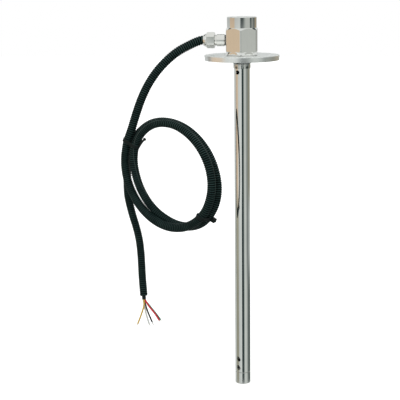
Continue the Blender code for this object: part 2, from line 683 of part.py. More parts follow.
def make_gland(parts, cutters, metal, rubber):
    """The cable gland: body, sealing washer, rubber sleeve and hexagonal dome nut."""
    thread_r = GLAND_THREAD_D / 2
    body_r = GLAND_BODY_D / 2
    bore_r = GLAND_BORE_D / 2
    ring_r = GLAND_RING_D / 2
    neck_r = GLAND_NECK_D / 2
    inner_end = HEAD_FLAT - GLAND_THREAD_INSIDE
    along_gland(turned("gland_body", [
        (neck_r, GLAND_NECK_END), (neck_r, GLAND_NECK_AT), (ring_r, GLAND_NECK_AT), (ring_r, GLAND_RING_AT),
        (body_r - GLAND_BODY_EDGE, GLAND_RING_AT), (body_r, GLAND_RING_AT - GLAND_BODY_EDGE),
        (body_r, GLAND_BODY_AT + GLAND_BODY_EDGE), (body_r - GLAND_BODY_EDGE, GLAND_BODY_AT),
        (thread_r, GLAND_BODY_AT), (thread_r, inner_end), (bore_r, inner_end), (bore_r, GLAND_NECK_END)],
        parts, metal, ROUND_INNER, closed=True))
    washer_hole_r = thread_r + SLIDE
    along_gland(turned("gland_washer", [
        (WASHER_D / 2, WASHER_AT + WASHER_T), (WASHER_D / 2, WASHER_AT), (washer_hole_r, WASHER_AT),
        (washer_hole_r, WASHER_AT + WASHER_T)], parts, rubber, ROUND_SMALL, closed=True))
    exit_r = CABLE_D / 2 + SLIDE
    socket_r = neck_r + SLIDE
    cavity_end = SEAL_END + GAP
    along_gland(turned("gland_seal", [
        (neck_r, SEAL_END), (neck_r, SEAL_AT), (exit_r, SEAL_AT), (exit_r, SEAL_END)],
        parts, rubber, ROUND_SMALL, closed=True))
    corner_r = NUT_AF / math.sqrt(3.0) * CORNER_MARGIN
    face_r = NUT_FACE_D / 2
    drop = (corner_r - face_r) * CHAMFER_SLOPE
    dome_mid_r = (NUT_DOME_D + NUT_TIP_D) / 4 + NUT_DOME_BULGE
    nut = turned("gland_nut", [
        (NUT_TIP_D / 2, NUT_END), (dome_mid_r, (NUT_DOME_AT + NUT_END) / 2), (NUT_DOME_D / 2, NUT_DOME_AT),
        (face_r, NUT_DOME_AT), (corner_r, NUT_DOME_AT - drop), (corner_r, NUT_AT + drop), (face_r, NUT_AT),
        (socket_r, NUT_AT), (socket_r, cavity_end), (exit_r, cavity_end), (exit_r, NUT_END)],
        parts, metal, ROUND_INNER, closed=True)
    along_gland(nut)
    flats = along_gland(hexagon("gland_nut_flats", NUT_AF, 4 * NUT_HEX_L, cutters, turn_deg=30.0))
    flats.location.x = -NUT_DOME_AT
    boolean(nut, flats, "INTERSECT")


def make_inner_cable(parts, mat):
    """The cable from the terminal block, through the gland, to the conduit's mouth."""
    start = TERMINAL_X - TERMINAL_SIZE[0] / 2 - GAP
    run = [(start, 0.0, GLAND_Z), ((start - NUT_END) / 2, 0.0, GLAND_Z), (-NUT_END, 0.0, GLAND_Z)]
    tube("inner_cable", smooth_route(run, CABLE_STEP), CABLE_D, parts, mat)


def coil_state(turn):
    """Outward offset and depth of the conduit's middle at a turn angle, read between the keys."""
    for (a, offset_a, depth_a), (b, offset_b, depth_b) in zip(COIL_KEYS, COIL_KEYS[1:]):
        if turn <= b:
            break
    share = min(1.0, max(0.0, (turn - a) / (b - a)))
    return (offset_a + (offset_b - offset_a) * share) * PITCH, (depth_a + (depth_b - depth_a) * share) * PITCH


def coil_directions():
    """The level direction in the coil's plane, and the one square to the plane, towards the back."""
    swing = math.radians(COIL_SWING_DEG)
    return Vector((math.cos(swing), -math.sin(swing), 0.0)), Vector((math.sin(swing), math.cos(swing), 0.0))


def coil_frame(turn):
    """The point of the coil's oval at a turn angle, and its outward and along directions."""
    angle = math.radians(turn)
    tilt = math.radians(COIL_TILT_DEG)
    level = coil_directions()[0]
    upright = Vector((0.0, 0.0, 1.0))
    long_axis = level * math.cos(tilt) + upright * math.sin(tilt)
    short_axis = upright * math.cos(tilt) - level * math.sin(tilt)
    middle = Vector((COIL_HINGE_X, 0.0, COIL_CENTRE[1])) + level * (COIL_CENTRE[0] - COIL_HINGE_X)
    point = middle + long_axis * COIL_LONG_R * math.cos(angle) + short_axis * COIL_SHORT_R * math.sin(angle)
    outwards = (long_axis * math.cos(angle) / COIL_LONG_R + short_axis * math.sin(angle) / COIL_SHORT_R).normalized()
    along = (short_axis * COIL_SHORT_R * math.cos(angle) - long_axis * COIL_LONG_R * math.sin(angle)).normalized()
    return point, outwards, along


def coil_point(turn):
    offset, depth = coil_state(turn)
    point, outwards, _ = coil_frame(turn)
    return point + outwards * offset + coil_directions()[1] * depth


def coil_strands(turn):
    """Where the strands cross the section at this angle of the oval, as (outward, depth) pairs."""
    found = []
    while turn <= COIL_END_DEG:
        if turn >= COIL_START_DEG:
            found.append(coil_state(turn))
        turn += 360.0
    return found


def section_outline(strands, radius, sides):
    """A smooth outline around round strands, as (outward, depth) points."""
    points = []
    for i in range(sides):
        angle = 2 * math.pi * i / sides
        toward = (math.cos(angle), math.sin(angle))
        reach = [(s[0] * toward[0] + s[1] * toward[1]) / PITCH for s in strands]
        weights = [math.exp(SECTION_BLEND * (value - max(reach))) for value in reach]
        total = sum(weights)
        centre = [sum(w * s[k] for w, s in zip(weights, strands)) / total for k in (0, 1)]
        points.append((centre[0] + radius * toward[0], centre[1] + radius * toward[1]))
    return points


def make_coil(parts, mat):
    """The outer shape of the coil: one closed ring of sections, each drawn around the strands there.
    It steps where the lead joins it and where the tail leaves it."""
    step_at = COIL_END_DEG - 720.0
    angles = [COIL_START_DEG, step_at, step_at + COIL_SHOULDER_DEG]
    turn = COIL_START_DEG + COIL_STEP_DEG
    while turn < COIL_START_DEG + 360.0 - COIL_STEP_DEG / 2:
        if abs(turn - step_at) > COIL_STEP_DEG / 3:
            angles.append(turn)
        turn += COIL_STEP_DEG
    angles.append(COIL_START_DEG + 360.0 - COIL_SHOULDER_DEG)
    back = coil_directions()[1]
    bm = bmesh.new()
    rings = []
    for angle in sorted(angles):
        point, outwards, _ = coil_frame(angle)
        ring = section_outline(coil_strands(angle), CONDUIT_D / 2, COIL_SECTION_SIDES)
        rings.append([bm.verts.new(point + outwards * x + back * y) for x, y in ring])
    for ring, after in zip(rings, rings[1:] + rings[:1]):
        for i in range(COIL_SECTION_SIDES):
            j = (i + 1) % COIL_SECTION_SIDES
            bm.faces.new((ring[i], after[i], after[j], ring[j]))
    bmesh.ops.recalc_face_normals(bm, faces=bm.faces)
    obj = mesh_object("conduit_coil", bm, parts, mat)
    obj.data.shade_smooth()


def end_gap(near, far, along):
    """How far a tube stops short of the coil's step, so that its tilted end face stays clear of it."""
    tilt = (far - near).angle(along)
    tilt = min(tilt, math.pi - tilt)
    return 1.5 * GAP + CONDUIT_D / 2 * math.tan(tilt)


def make_straight_conduit(parts, mat):
    start = Vector((-CONDUIT_START, 0.0, GLAND_Z))
    joint = coil_point(COIL_START_DEG)
    _, _, along = coil_frame(COIL_START_DEG)
    lead = [start - Vector((LEAD_STRAIGHT, 0.0, 0.0))] + [Vector(p) for p in LEAD_ROUTE]
    lead.append(joint - along * end_gap(joint, lead[-1], along))
    tube("conduit_lead", [start] + smooth_route(lead, CONDUIT_STEP), CONDUIT_D, parts, mat)
    leave = coil_point(COIL_END_DEG)
    _, _, along = coil_frame(COIL_END_DEG)
    tail = [Vector(p) for p in TAIL_ROUTE]
    tail.insert(0, leave + along * end_gap(leave, tail[0], along))
    tube("conduit_tail", smooth_route(tail, CONDUIT_STEP), TAIL_D, parts, mat)


def make_cable_end(parts, sheath_mat, wire_mats):
    """The sheath that comes out of the conduit and the five wires that fan out of it."""
    end = Vector(TAIL_ROUTE[-1])
    along = (end - Vector(TAIL_ROUTE[-2])).normalized()
    start = end + along * GAP
    stop = start + along * SHEATH_L
    tube("cable_end", [start, (start + stop) / 2, stop], SHEATH_D, parts, sheath_mat)
    side = Vector((0.0, 1.0, 0.0)).cross(along).normalized() * -1.0
    back = along.cross(side) * -1.0
    for name, (angle_deg, route) in WIRES.items():
        angle = math.radians(angle_deg)
        offset = (side * math.cos(angle) + back * math.sin(angle)) * WIRE_CIRCLE_D / 2
        first = stop + along * GAP + offset
        tube(name, smooth_route([first] + list(route), WIRE_STEP), WIRE_D, parts, wire_mats[name], 2)


def strands_under(turn, frame):
    """The middle lines of the strands under a strap, as (across, depth) pairs in the strap's frame."""
    inverse = frame.inverted()
    found = []
    while turn <= COIL_END_DEG:
        for i in range(-TIE_SPAN_STEPS, TIE_SPAN_STEPS + 1):
            at = turn + i * TIE_SPAN_DEG / TIE_SPAN_STEPS
            x, y, z = inverse @ coil_point(at)
            if COIL_START_DEG <= at <= COIL_END_DEG and abs(z) <= TIE_W / 2:
                found.append((x, y))
        turn += 360.0
    return found


def make_tie(name, parts, cutters, mat):
    """A strap drawn tight around the strands, with its square head and, if it shows, its trimmed tail."""
    turn, lean_deg, head_deg, tail_turn = TIES[name]
    point, outwards, _ = coil_frame(turn)
    depth = coil_directions()[1]
    across = Matrix.Rotation(math.radians(lean_deg), 3, depth) @ outwards
    frame = Matrix((across, depth, across.cross(depth))).transposed().to_4x4()
    frame.translation = point
    sides = 2 * COIL_SECTION_SIDES
    strands = strands_under(turn, frame)
    inner_r = CONDUIT_D / 2 + TIE_CLEARANCE
    inner = section_outline(strands, inner_r, sides)
    outer = section_outline(strands, inner_r + TIE_T, sides)
    band = place(outline(name, [outer, inner], TIE_W, parts), parts, mat)
    band.matrix_world = frame
    index = round(head_deg / 360.0 * sides) % sides
    head_dir = Vector((math.cos(math.radians(head_deg)), math.sin(math.radians(head_deg)), 0.0))
    centre = Vector((*outer[index], 0.0)) + head_dir * (TIE_HEAD[0] - TIE_T) / 2
    head = block(name + "_head", TIE_HEAD, (0, 0, 0), cutters, edge=TIE_HEAD_EDGE)
    head.matrix_world = frame @ Matrix.Translation(centre) @ Matrix.Rotation(math.radians(head_deg), 4, "Z")
    boolean(band, as_cutter(head), "UNION")
    if tail_turn is not None:
        inward = min(strands)[0] - inner_r - TIE_T / 2
        start = point + across * inward
        far_point, far_outwards, _ = coil_frame(tail_turn)
        far_inward = min(coil_strands(tail_turn + 360.0))[0] - inner_r - TIE_T / 2
        reach = far_point + far_outwards * far_inward - start
        tail = block(name + "_tail", (reach.length, TIE_TAIL_W, TIE_TAIL_T), (0, 0, 0), cutters, edge=0.0)
        run = reach.normalized()
        tail_frame = Matrix((run, depth, run.cross(depth))).transposed().to_4x4()
        tail_frame.translation = start + reach / 2
        tail.matrix_world = tail_frame
        boolean(band, as_cutter(tail), "UNION")


def main():
    clear_scene()
    parts = new_collection("fuel_level_sensor")
    cutters = new_collection("cutters")
    steel = material("stainless_steel", (0.62, 0.64, 0.62), 0.22, 1.0)
    flange_steel = material("turned_steel", (0.66, 0.68, 0.66), 0.35, 1.0)
    nickel = material("nickel_plate", (0.70, 0.70, 0.68), 0.12, 1.0)
    brass = material("brass", (0.72, 0.55, 0.25), 0.3, 1.0)
    copper = material("tinned_copper", (0.75, 0.70, 0.62), 0.3, 1.0)
    ptfe = material("white_insulator", (0.88, 0.88, 0.86), 0.45)
    rubber = material("seal_rubber", (0.03, 0.03, 0.03), 0.75)
    board = material("board_laminate", (0.05, 0.22, 0.10), 0.5)
    chip = material("chip_resin", (0.02, 0.02, 0.02), 0.6)
    terminal = material("terminal_plastic", (0.08, 0.25, 0.14), 0.5)
    can = material("capacitor_can", (0.60, 0.60, 0.62), 0.3, 1.0)
    conduit = material("conduit_plastic", (0.013, 0.018, 0.018), 0.5)
    sheath = material("sheath_plastic", (0.012, 0.014, 0.014), 0.55)
    tie = material("tie_nylon", (0.012, 0.012, 0.012), 0.45)
    wires = {
        "wire_yellow": material("yellow_insulation", (0.66, 0.46, 0.13), 0.4),
        "wire_red": material("red_insulation", (0.58, 0.03, 0.05), 0.4),
        "wire_green": material("green_insulation", (0.02, 0.22, 0.15), 0.4),
        "wire_black": material("black_insulation", (0.012, 0.014, 0.014), 0.4),
        "wire_white": material("white_insulation", (0.75, 0.76, 0.74), 0.4),
    }
    make_flange(parts, cutters, flange_steel)
    make_collar(parts, steel)
    make_outer_tube(parts, cutters, steel)
    recess = make_end_cap(parts, steel)
    make_electrode(parts, ptfe, steel, rubber, recess)
    make_spacers(parts, cutters, ptfe)
    make_stud_fittings(parts, cutters, nickel, copper)
    make_head(parts, cutters, steel)
    make_cover(parts, steel, rubber)
    make_electronics(parts, board, chip, terminal, can, brass)
    make_gland(parts, cutters, nickel, rubber)
    make_inner_cable(parts, sheath)
    make_coil(parts, conduit)
    make_straight_conduit(parts, conduit)
    make_cable_end(parts, sheath, wires)
    for name in TIES:
        make_tie(name, parts, cutters, tie)


main()
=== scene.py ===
"""The looks of the fuel level sensor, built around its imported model. Lengths are metres and +Z is up. The
origin is the centre of the flange's underside, the probe hangs along -Z, and the gland points along -X."""

from math import atan2, cos, exp, pi, radians, sin, sqrt, tan

import bmesh
import bpy
from mathutils import Matrix, Vector, noise


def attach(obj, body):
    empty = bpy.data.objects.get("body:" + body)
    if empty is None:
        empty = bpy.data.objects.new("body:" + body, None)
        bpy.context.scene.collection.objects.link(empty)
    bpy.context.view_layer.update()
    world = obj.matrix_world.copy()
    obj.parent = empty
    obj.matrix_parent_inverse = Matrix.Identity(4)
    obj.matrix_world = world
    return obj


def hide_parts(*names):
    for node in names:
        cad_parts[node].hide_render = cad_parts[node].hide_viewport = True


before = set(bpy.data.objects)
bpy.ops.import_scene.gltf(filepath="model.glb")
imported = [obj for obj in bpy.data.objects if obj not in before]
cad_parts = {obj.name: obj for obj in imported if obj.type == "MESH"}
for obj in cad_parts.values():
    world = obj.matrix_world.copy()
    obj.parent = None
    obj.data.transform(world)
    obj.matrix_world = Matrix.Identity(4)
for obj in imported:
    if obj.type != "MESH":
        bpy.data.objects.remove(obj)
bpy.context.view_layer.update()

# Camera
CAMERA_AT = (0.0843, -1.1401, 0.08905)
CAMERA_YAW = -0.1119
CAMERA_TILT = 0.2002
CAMERA_ROLL = -0.0106
CAMERA_LENS = 102.11

# Metal: the model's sizes, and those of details that only the looks have
FLANGE_R = 0.0375
FLANGE_T = 0.005
BOLT_CIRCLE_R = 0.029
BOLT_HOLE_R = 0.00275
BOLT_START_DEG = 10.0
TUBE_R = 0.008
TUBE_BORE_R = 0.007
TUBE_TOP = 0.0047
TUBE_END = -0.3274
PROBE_END = -0.34
TUBE_HOLE_R = 0.0021
DRAIN_HOLE_R = 0.0018
DRAIN_RUNS = ((-0.00046, 0.00085), (0.0, 0.0), (0.00046, -0.00085))
# Each hole in the tube: its height, and the runs of the holes that it is drilled as (sideways and up)
TUBE_HOLES = ((-0.0119, ((0.0, 0.0),)), (-0.3125, DRAIN_RUNS), (-0.322, DRAIN_RUNS))
HOLE_AZIMUTH_DEG = 30.0
COLLAR_BORE_R = 0.0083
BEAD_R = 0.0085
BEAD_SWELL = 0.00025
BEAD_TOP = -0.0036
BEAD_LOW = -0.0083
BEAD_STEPS = 16
BEAD_RIPPLED = (-0.0082, -0.0034)   # heights between which its surface ripples
SHADE_AND_SCALE_LOW = -0.0044                 # the dark heat scale, which is also painted shade under the flange, sets in here, going up
SHADE_AND_SCALE_FADE = 0.0018
DARK_REFLECTION_PITS = ((-41.0, -0.0071), (39.0, -0.0071))   # dents in the bead, coloured dark as painted dark reflections: angle from the camera, and height
WELD_PIT_RING_R = 0.0087
WELD_PIT_R = 0.0012
WELD_PIT_DEPTH = 0.0002
HEAD_FOOT = 0.0053
HEAD_FLOOR = 0.0088
HEX_LOW = 0.0087
HEX_HIGH = 0.032
HEAD_TOP = 0.0428
HEX_AF = 0.0307
HEX_HIGH_R = 0.0151
HEX_LOW_R = 0.0168
HEAD_FOOT_R = 0.0154
HEAD_TOP_R = 0.0148
HEAD_BORE_R = 0.012
HEAD_HOLE_R = 0.006
COVER_R = 0.0132
COVER_LOW = 0.0406
COVER_SEAT_R = 0.0135
GLAND_Z = 0.0198
GLAND_ENTRY_R = 0.0048
NUT_AF = 0.0142
NUT_AT = 0.027
DOME_AT = 0.0354
NUT_END = 0.0388
CHAMFER_SLOPE = tan(radians(30.0))
HEX_TOP_SLOPE = tan(radians(44.0))
BLANK_SPARE = 1.01           # a turned blank's radius as a share of the hexagon's corners
FLAT_STEPS = 4               # to either side of a flat's middle
CORNER_STEPS = 6

# Conduit
CONDUIT_D = 0.009
PITCH = 0.0093
COIL_HINGE_X = -0.112
COIL_SWING_DEG = 27.5
COIL_CENTRE = (-0.0678, -0.1141)
COIL_LONG_R = 0.0567
COIL_SHORT_R = 0.0483
COIL_TILT_DEG = -45.7
COIL_START_DEG = -175.0
COIL_END_DEG = 596.0
COIL_STEP_DEG = 11.0
# Turn angle, and how far the conduit runs from the oval there, outwards and to the back, in pitches
COIL_KEYS = (
    (-175, 0.652, 0.0), (-155, 0.352, 0.0), (-134, 0.351, 0.0), (-108, 0.371, 0.0),
    (-83, 0.388, 0.0), (-57, 0.305, 0.0), (-31, 0.055, 0.0), (-5, -0.147, 0.0),
    (26, -0.188, 0.0), (61, 0.005, 0.0), (94, 0.13, 0.0), (121, 0.15, 0.0),
    (147, -0.043, 0.0), (175, -0.413, 0.0), (208, -0.783, 0.0), (237, -0.964, 0.0),
    (259, -0.82, 0.104), (273, -0.574, 0.296), (285, -0.331, 0.521), (295, -0.176, 0.737),
    (306, -0.017, 0.903), (317, 0.109, 0.975), (327, 0.128, 0.985), (338, 0.185, 0.985),
    (352, 0.199, 0.985), (368, 0.079, 0.985), (390, 0.04, 0.986), (422, -0.07, 0.988),
    (452, -0.093, 0.989), (477, -0.072, 0.994), (500, -0.046, 1.0), (522, 0.075, 1.006),
    (541, 0.139, 1.012), (556, 0.372, 1.017), (571, 0.561, 1.022), (584, 0.832, 1.026),
    (596, 1.085, 1.03),
)
CONDUIT_START = (-0.0391, 0.0, 0.0198)
LEAD_ROUTE = (
    (-0.0425, 0.0, 0.0196), (-0.052, 0.0, 0.0154), (-0.0666, 0.0, 0.0074),
    (-0.0829, 0.0, -0.0073), (-0.0947, 0.0, -0.0232), (-0.1028, 0.0, -0.0392),
    (-0.109, 0.0009, -0.0556),
)
TAIL_ROUTE = (
    (-0.1219, 0.0146, -0.1403), (-0.1197, 0.0144, -0.1527), (-0.1166, 0.0133, -0.1649),
    (-0.113, 0.0119, -0.1761), (-0.1098, 0.0102, -0.1895), (-0.1079, 0.008, -0.2053),
    (-0.1068, 0.0054, -0.2264), (-0.1055, 0.0036, -0.2424), (-0.1051, 0.0032, -0.2481),
)
CURVE_STEPS = 24
ROUTE_STEP = 0.001
ROUTE_EASE = 6               # points on either side that a route point is averaged with
RIB_PITCH = 0.0022
RIB_CREST_R = 0.0045
RIB_VALLEY_R = 0.004
# Share of a rib's pitch, how far the wall stands out there from the valley to the crest, and how worn it is,
# where low values paint shade into the valleys
RIB_SHAPE = ((0.0, 0.0, 0.0), (0.08, 0.8, 0.0), (0.2, 1.0, 0.35), (0.36, 1.0, 1.0), (0.52, 1.0, 0.35),
             (0.66, 0.8, 0.0), (0.76, 0.0, 0.0))
SLIM_KEYS = ((0.83, 1.0), (0.93, 0.92))   # share of the route, and of the conduit's full diameter
CONDUIT_BORE_R = 0.0034
CONDUIT_BORE_DEPTH = 0.007
SEAM_HALF_DEG = 4.5
SEAM_GROOVE_DEG = 8.5
SEAM_LIP = 0.78              # how far the slit's lip stands out from the valley to the crest
CONDUIT_SIDES = 22
# Where the conduit's slit faces, by the length run from the gland: degrees from outwards to the front
SEAM_KEYS = ((0.0, -60.0), (0.15, -50.0), (0.185, 12.0), (0.3, 6.0), (0.33, 25.0), (0.4, 33.0),
             (0.45, 60.0), (0.5, 120.0), (0.545, 172.0), (0.6, 205.0), (0.9, 260.0))

# Cable end and wires
SHEATH_R = 0.0021
SHEATH_BORE_R = 0.00198
SHEATH_L = 0.0042
SHEATH_INSIDE = 0.006
SHEATH_SIDES = 40
SHEATH_RAGGED = 0.00012
WIRE_R = 0.00085
WIRE_CIRCLE_R = 0.00111
WIRE_INSIDE = 0.0105
WIRE_STEP = 0.0008
WIRE_SIDES = 20
WIRE_END_SHARE = 0.93
TIP_R = 0.0004
TIP_STEP = 0.0002
TIP_SIDES = 36
TIP_STRANDS = 6
TIP_LOBE = 0.1
TIP_TWIST = 0.35
TIP_END_SHARE = 0.82
TIP_L = {"yellow": 0.0016, "red": 0.0016, "green": 0.002, "black": 0.0028, "white": 0.0024}
# Each wire's angle around the cable, and its way from there to its end
WIRES = {
    "yellow": (270.0, ((-0.105, 0.0015, -0.2591), (-0.1078, 0.001, -0.2683), (-0.1123, 0.0002, -0.2803))),
    "red": (342.0, ((-0.0994, 0.0018, -0.2598), (-0.0935, 0.0015, -0.2672), (-0.088, 0.0015, -0.2762))),
    "green": (54.0, ((-0.0988, 0.0036, -0.26), (-0.0928, 0.0033, -0.2675), (-0.0868, 0.0031, -0.2758))),
    "black": (126.0, ((-0.1038, 0.0043, -0.258), (-0.1015, 0.0043, -0.2661), (-0.0964, 0.0041, -0.2787),
                      (-0.0953, 0.004, -0.2806))),
    "white": (198.0, ((-0.1048, 0.0031, -0.2585), (-0.1029, 0.0031, -0.269), (-0.1001, 0.0031, -0.279),
                      (-0.0987, 0.0031, -0.2817))),
}

# Cable ties
TIE_W = 0.0036
TIE_T = 0.0009
TIE_EDGE = 0.00028
TIE_DIP = 0.00012
TIE_CLEARANCE = -0.0003       # the strap sinks a little between the ribs
TIE_REACH = 0.03              # strands further out than this aren't in the tie
TIE_HEAD = (0.0046, 0.005, 0.0042)
TIE_HEAD_SUNK = 0.0002
TIE_HEAD_RIM = 0.0009
TIE_HEAD_POCKET = 0.0012
TIE_HEAD_BEVEL = 0.0004
TIE_TAIL_W = 0.0024
TIE_TAIL_T = 0.0012
TIE_TAIL_BOW = 0.0004
TIE_TAIL_STAND = 0.0029       # how far its cut end stands off the conduit
TIE_TAIL_KNOB = 2.2           # its cut end is this many times as thick
TIE_TAIL_STEP = 0.0006
TIE_TAIL_KNOB_STEPS = 4
TIE_TAILS = {"upper": 174.5}  # turn angle that the trimmed tail reaches to
# Its outline: shares of half the width and of half the thickness
TIE_TAIL_SECTION = ((-1.0, -0.6), (-0.8, -1.0), (0.8, -1.0), (1.0, -0.6), (1.0, 0.6), (0.8, 1.0), (-0.8, 1.0),
                    (-1.0, 0.6))
TIE_SAMPLES = 120
# Turn angle, lean, and the side that the head is on
TIES = {"upper": (-163.8, -2.7, 112.5), "lower": (1.0, -21.5, 0.0)}

# Stage
WHITE = (1.0, 1.0, 1.0, 1.0)
SKY = (0.88, 0.9, 0.89, 1.0)
FLOOR_Z = -0.6
FLOOR_LIFT = 0.62            # the floor's own light, for the camera
SURROUND_SIDES = 180
SURROUND_R = 0.7
SURROUND_TOP = 0.9
CAMERA_AZIMUTH_DEG = 4.2     # from -Y towards +X

BODY = "root"
Y_AXIS = Vector((0.0, 1.0, 0.0))
# Turns a mesh about Z so that its height runs outwards along the gland
ALONG_GLAND = Matrix.Translation((0.0, 0.0, GLAND_Z)) @ Matrix.Rotation(-pi / 2, 4, "Y")


# Looks

# How a coordinate is stretched for the marks on a piece
EVEN = (1.0, 1.0, 1.0)
UPRIGHT = (1.0, 1.0, 0.01)
ALONG_X = (0.02, 1.0, 1.0)
METAL_GRAIN = 0.00002
PLASTIC_GRAIN = 0.00003
# Dark and light colour, roughness, how the marks are stretched (None: rings of turning), their scale and bump
METALS = {
    "polished_steel": ((0.7, 0.72, 0.71), (0.78, 0.79, 0.77), (0.05, 0.1), UPRIGHT, 2200.0, 0.1),
    "milled_steel": ((0.71, 0.72, 0.7), (0.79, 0.79, 0.77), (0.06, 0.11), UPRIGHT, 2600.0, 0.14),
    "turned_steel": ((0.8, 0.82, 0.81), (0.9, 0.91, 0.9), (0.36, 0.46), None, 5200.0, 0.35),
    "turned_rim": ((0.8, 0.82, 0.81), (0.9, 0.91, 0.9), (0.27, 0.35), UPRIGHT, 1800.0, 0.25),
    "nickel_plating": ((0.72, 0.72, 0.69), (0.82, 0.81, 0.78), (0.07, 0.13), ALONG_X, 1500.0, 0.08),
    "tinned_strands": ((0.5, 0.48, 0.45), (0.66, 0.62, 0.56), (0.25, 0.38), EVEN, 900.0, 0.2),
    "turned_brass": ((0.6, 0.42, 0.16), (0.72, 0.53, 0.24), (0.18, 0.3), EVEN, 1500.0, 0.1),
    "tinned_copper": ((0.52, 0.46, 0.4), (0.68, 0.62, 0.55), (0.22, 0.34), EVEN, 1200.0, 0.1),
    "capacitor_can": ((0.5, 0.5, 0.52), (0.62, 0.62, 0.64), (0.2, 0.3), EVEN, 1200.0, 0.1),
}
# Dark and light colour, roughness, scale of the mottling, and shine
PLASTICS = {
    "seam_plastic": ((0.024, 0.037, 0.035), (0.042, 0.06, 0.056), (0.3, 0.38), 150.0, 0.18),
    "yellow_wire": ((0.62, 0.4, 0.07), (0.72, 0.49, 0.1), (0.34, 0.44), 90.0, 0.25),
    "red_wire": ((0.64, 0.022, 0.042), (0.76, 0.034, 0.06), (0.34, 0.44), 90.0, 0.25),
    "green_wire": ((0.01, 0.18, 0.11), (0.016, 0.24, 0.15), (0.34, 0.44), 90.0, 0.25),
    "black_wire": ((0.006, 0.01, 0.01), (0.012, 0.017, 0.017), (0.34, 0.44), 90.0, 0.2),
    "white_wire": ((0.68, 0.7, 0.68), (0.76, 0.77, 0.75), (0.3, 0.4), 90.0, 0.5),
    "cable_jacket": ((0.006, 0.01, 0.01), (0.012, 0.018, 0.018), (0.4, 0.52), 140.0, 0.2),
    "cable_jacket_inside": ((0.008, 0.011, 0.011), (0.016, 0.02, 0.02), (0.4, 0.5), 140.0, 0.5),
    "black_nylon": ((0.004, 0.008, 0.008), (0.008, 0.014, 0.014), (0.34, 0.46), 200.0, 0.13),
    "black_rubber": ((0.02, 0.022, 0.022), (0.035, 0.037, 0.036), (0.6, 0.75), 200.0, 0.5),
    "white_insulator": ((0.78, 0.78, 0.76), (0.87, 0.87, 0.85), (0.38, 0.5), 80.0, 0.5),
    "board_laminate": ((0.035, 0.17, 0.075), (0.05, 0.22, 0.1), (0.3, 0.4), 300.0, 0.5),
    "chip_resin": ((0.015, 0.015, 0.015), (0.028, 0.028, 0.028), (0.5, 0.6), 400.0, 0.5),
    "terminal_plastic": ((0.06, 0.21, 0.11), (0.09, 0.27, 0.15), (0.4, 0.5), 200.0, 0.5),
}
# The pieces that only the model has, by their look
INSIDE = {
    "polished_steel": ("inner_electrode",),
    "nickel_plating": ("stud_nut",),
    "turned_brass": ("board_post_1", "board_post_2", "board_post_3"),
    "tinned_copper": ("contact_lug", "signal_wire"),
    "capacitor_can": ("filter_capacitor",),
    "white_insulator": ("electrode_end_bush", "electrode_bushing", "spacer_1", "spacer_2", "spacer_3"),
    "black_rubber": ("bushing_o_ring", "cover_o_ring", "gland_seal"),
    "board_laminate": ("circuit_board",),
    "chip_resin": ("sensor_chip", "voltage_regulator"),
    "terminal_plastic": ("terminal_block",),
    "cable_jacket_inside": ("inner_cable",),
}
LOOKS_MADE = {}


def empty_tree(owner):
    owner.use_nodes = True
    owner.node_tree.nodes.clear()
    return owner.node_tree


def wired(tree, kind, inputs=(), **settings):
    """The outputs of a new node. Its inputs are (socket, value or another node's output)."""
    node = tree.nodes.new("ShaderNode" + kind)
    for key, value in settings.items():
        setattr(node, key, value)
    for socket, value in inputs:
        if isinstance(value, bpy.types.NodeSocket):
            tree.links.new(value, node.inputs[socket])
        else:
            node.inputs[socket].default_value = value
    return node.outputs


def calc(tree, operation, *values):
    return wired(tree, "Math", enumerate(values), operation=operation)[0]


def ramp(tree, factor, stops):
    result = wired(tree, "ValToRGB", [(0, factor)])[0]
    elements = result.node.color_ramp.elements
    while len(elements) > 1:
        elements.remove(elements[-1])
    for i, (at, colour) in enumerate(stops):
        element = elements[0] if i == 0 else elements.new(at)
        element.position = at
        element.color = (*colour, 1.0)
    return result


def between(tree, factor, dark, light):
    return ramp(tree, factor, [(0.3, dark), (0.7, light)])


def spread(tree, value, low, high, side="To", **settings):
    """Maps 0 to 1 onto low to high, or low to high onto 0 to 1 where the side is From."""
    inputs = [("Value", value), (side + " Min", low), (side + " Max", high)]
    return wired(tree, "MapRange", inputs, **settings)[0]


def own_coords(tree):
    return wired(tree, "TexCoord")["Object"]


def attribute(tree, name):
    return wired(tree, "Attribute", attribute_name=name)["Fac"]


def noise_on(tree, coords, scale, detail=3.0, roughness=0.5):
    inputs = [("Vector", coords), ("Scale", scale), ("Detail", detail), ("Roughness", roughness)]
    return wired(tree, "TexNoise", inputs)["Fac"]


def stretched(tree, scale=EVEN):
    """The object's own coordinates, stretched."""
    return wired(tree, "Mapping", [("Vector", own_coords(tree)), ("Scale", scale)])[0]


def radial(tree):
    """A coordinate that runs outwards from the probe's axis, for the marks that turning leaves."""
    flat = wired(tree, "VectorMath", [(0, own_coords(tree)), (1, (1.0, 1.0, 0.0))],
                    operation="MULTIPLY")[0]
    length = wired(tree, "VectorMath", [(0, flat)], operation="LENGTH")["Value"]
    return wired(tree, "CombineXYZ", [(0, length)])[0]


def bump(tree, height, strength, distance):
    inputs = [("Height", height), ("Strength", strength), ("Distance", distance)]
    return wired(tree, "Bump", inputs)[0]


def principled(name, **sockets):
    mat = bpy.data.materials.new(name)
    mat.use_nodes = True
    shader = mat.node_tree.nodes["Principled BSDF"]
    for key, value in sockets.items():
        shader.inputs[key.replace("_", " ")].default_value = value
    return mat, mat.node_tree, shader


def connect(tree, shader, colour, roughness, normal):
    for socket, value in (("Base Color", colour), ("Roughness", roughness), ("Normal", normal)):
        tree.links.new(value, shader.inputs[socket])


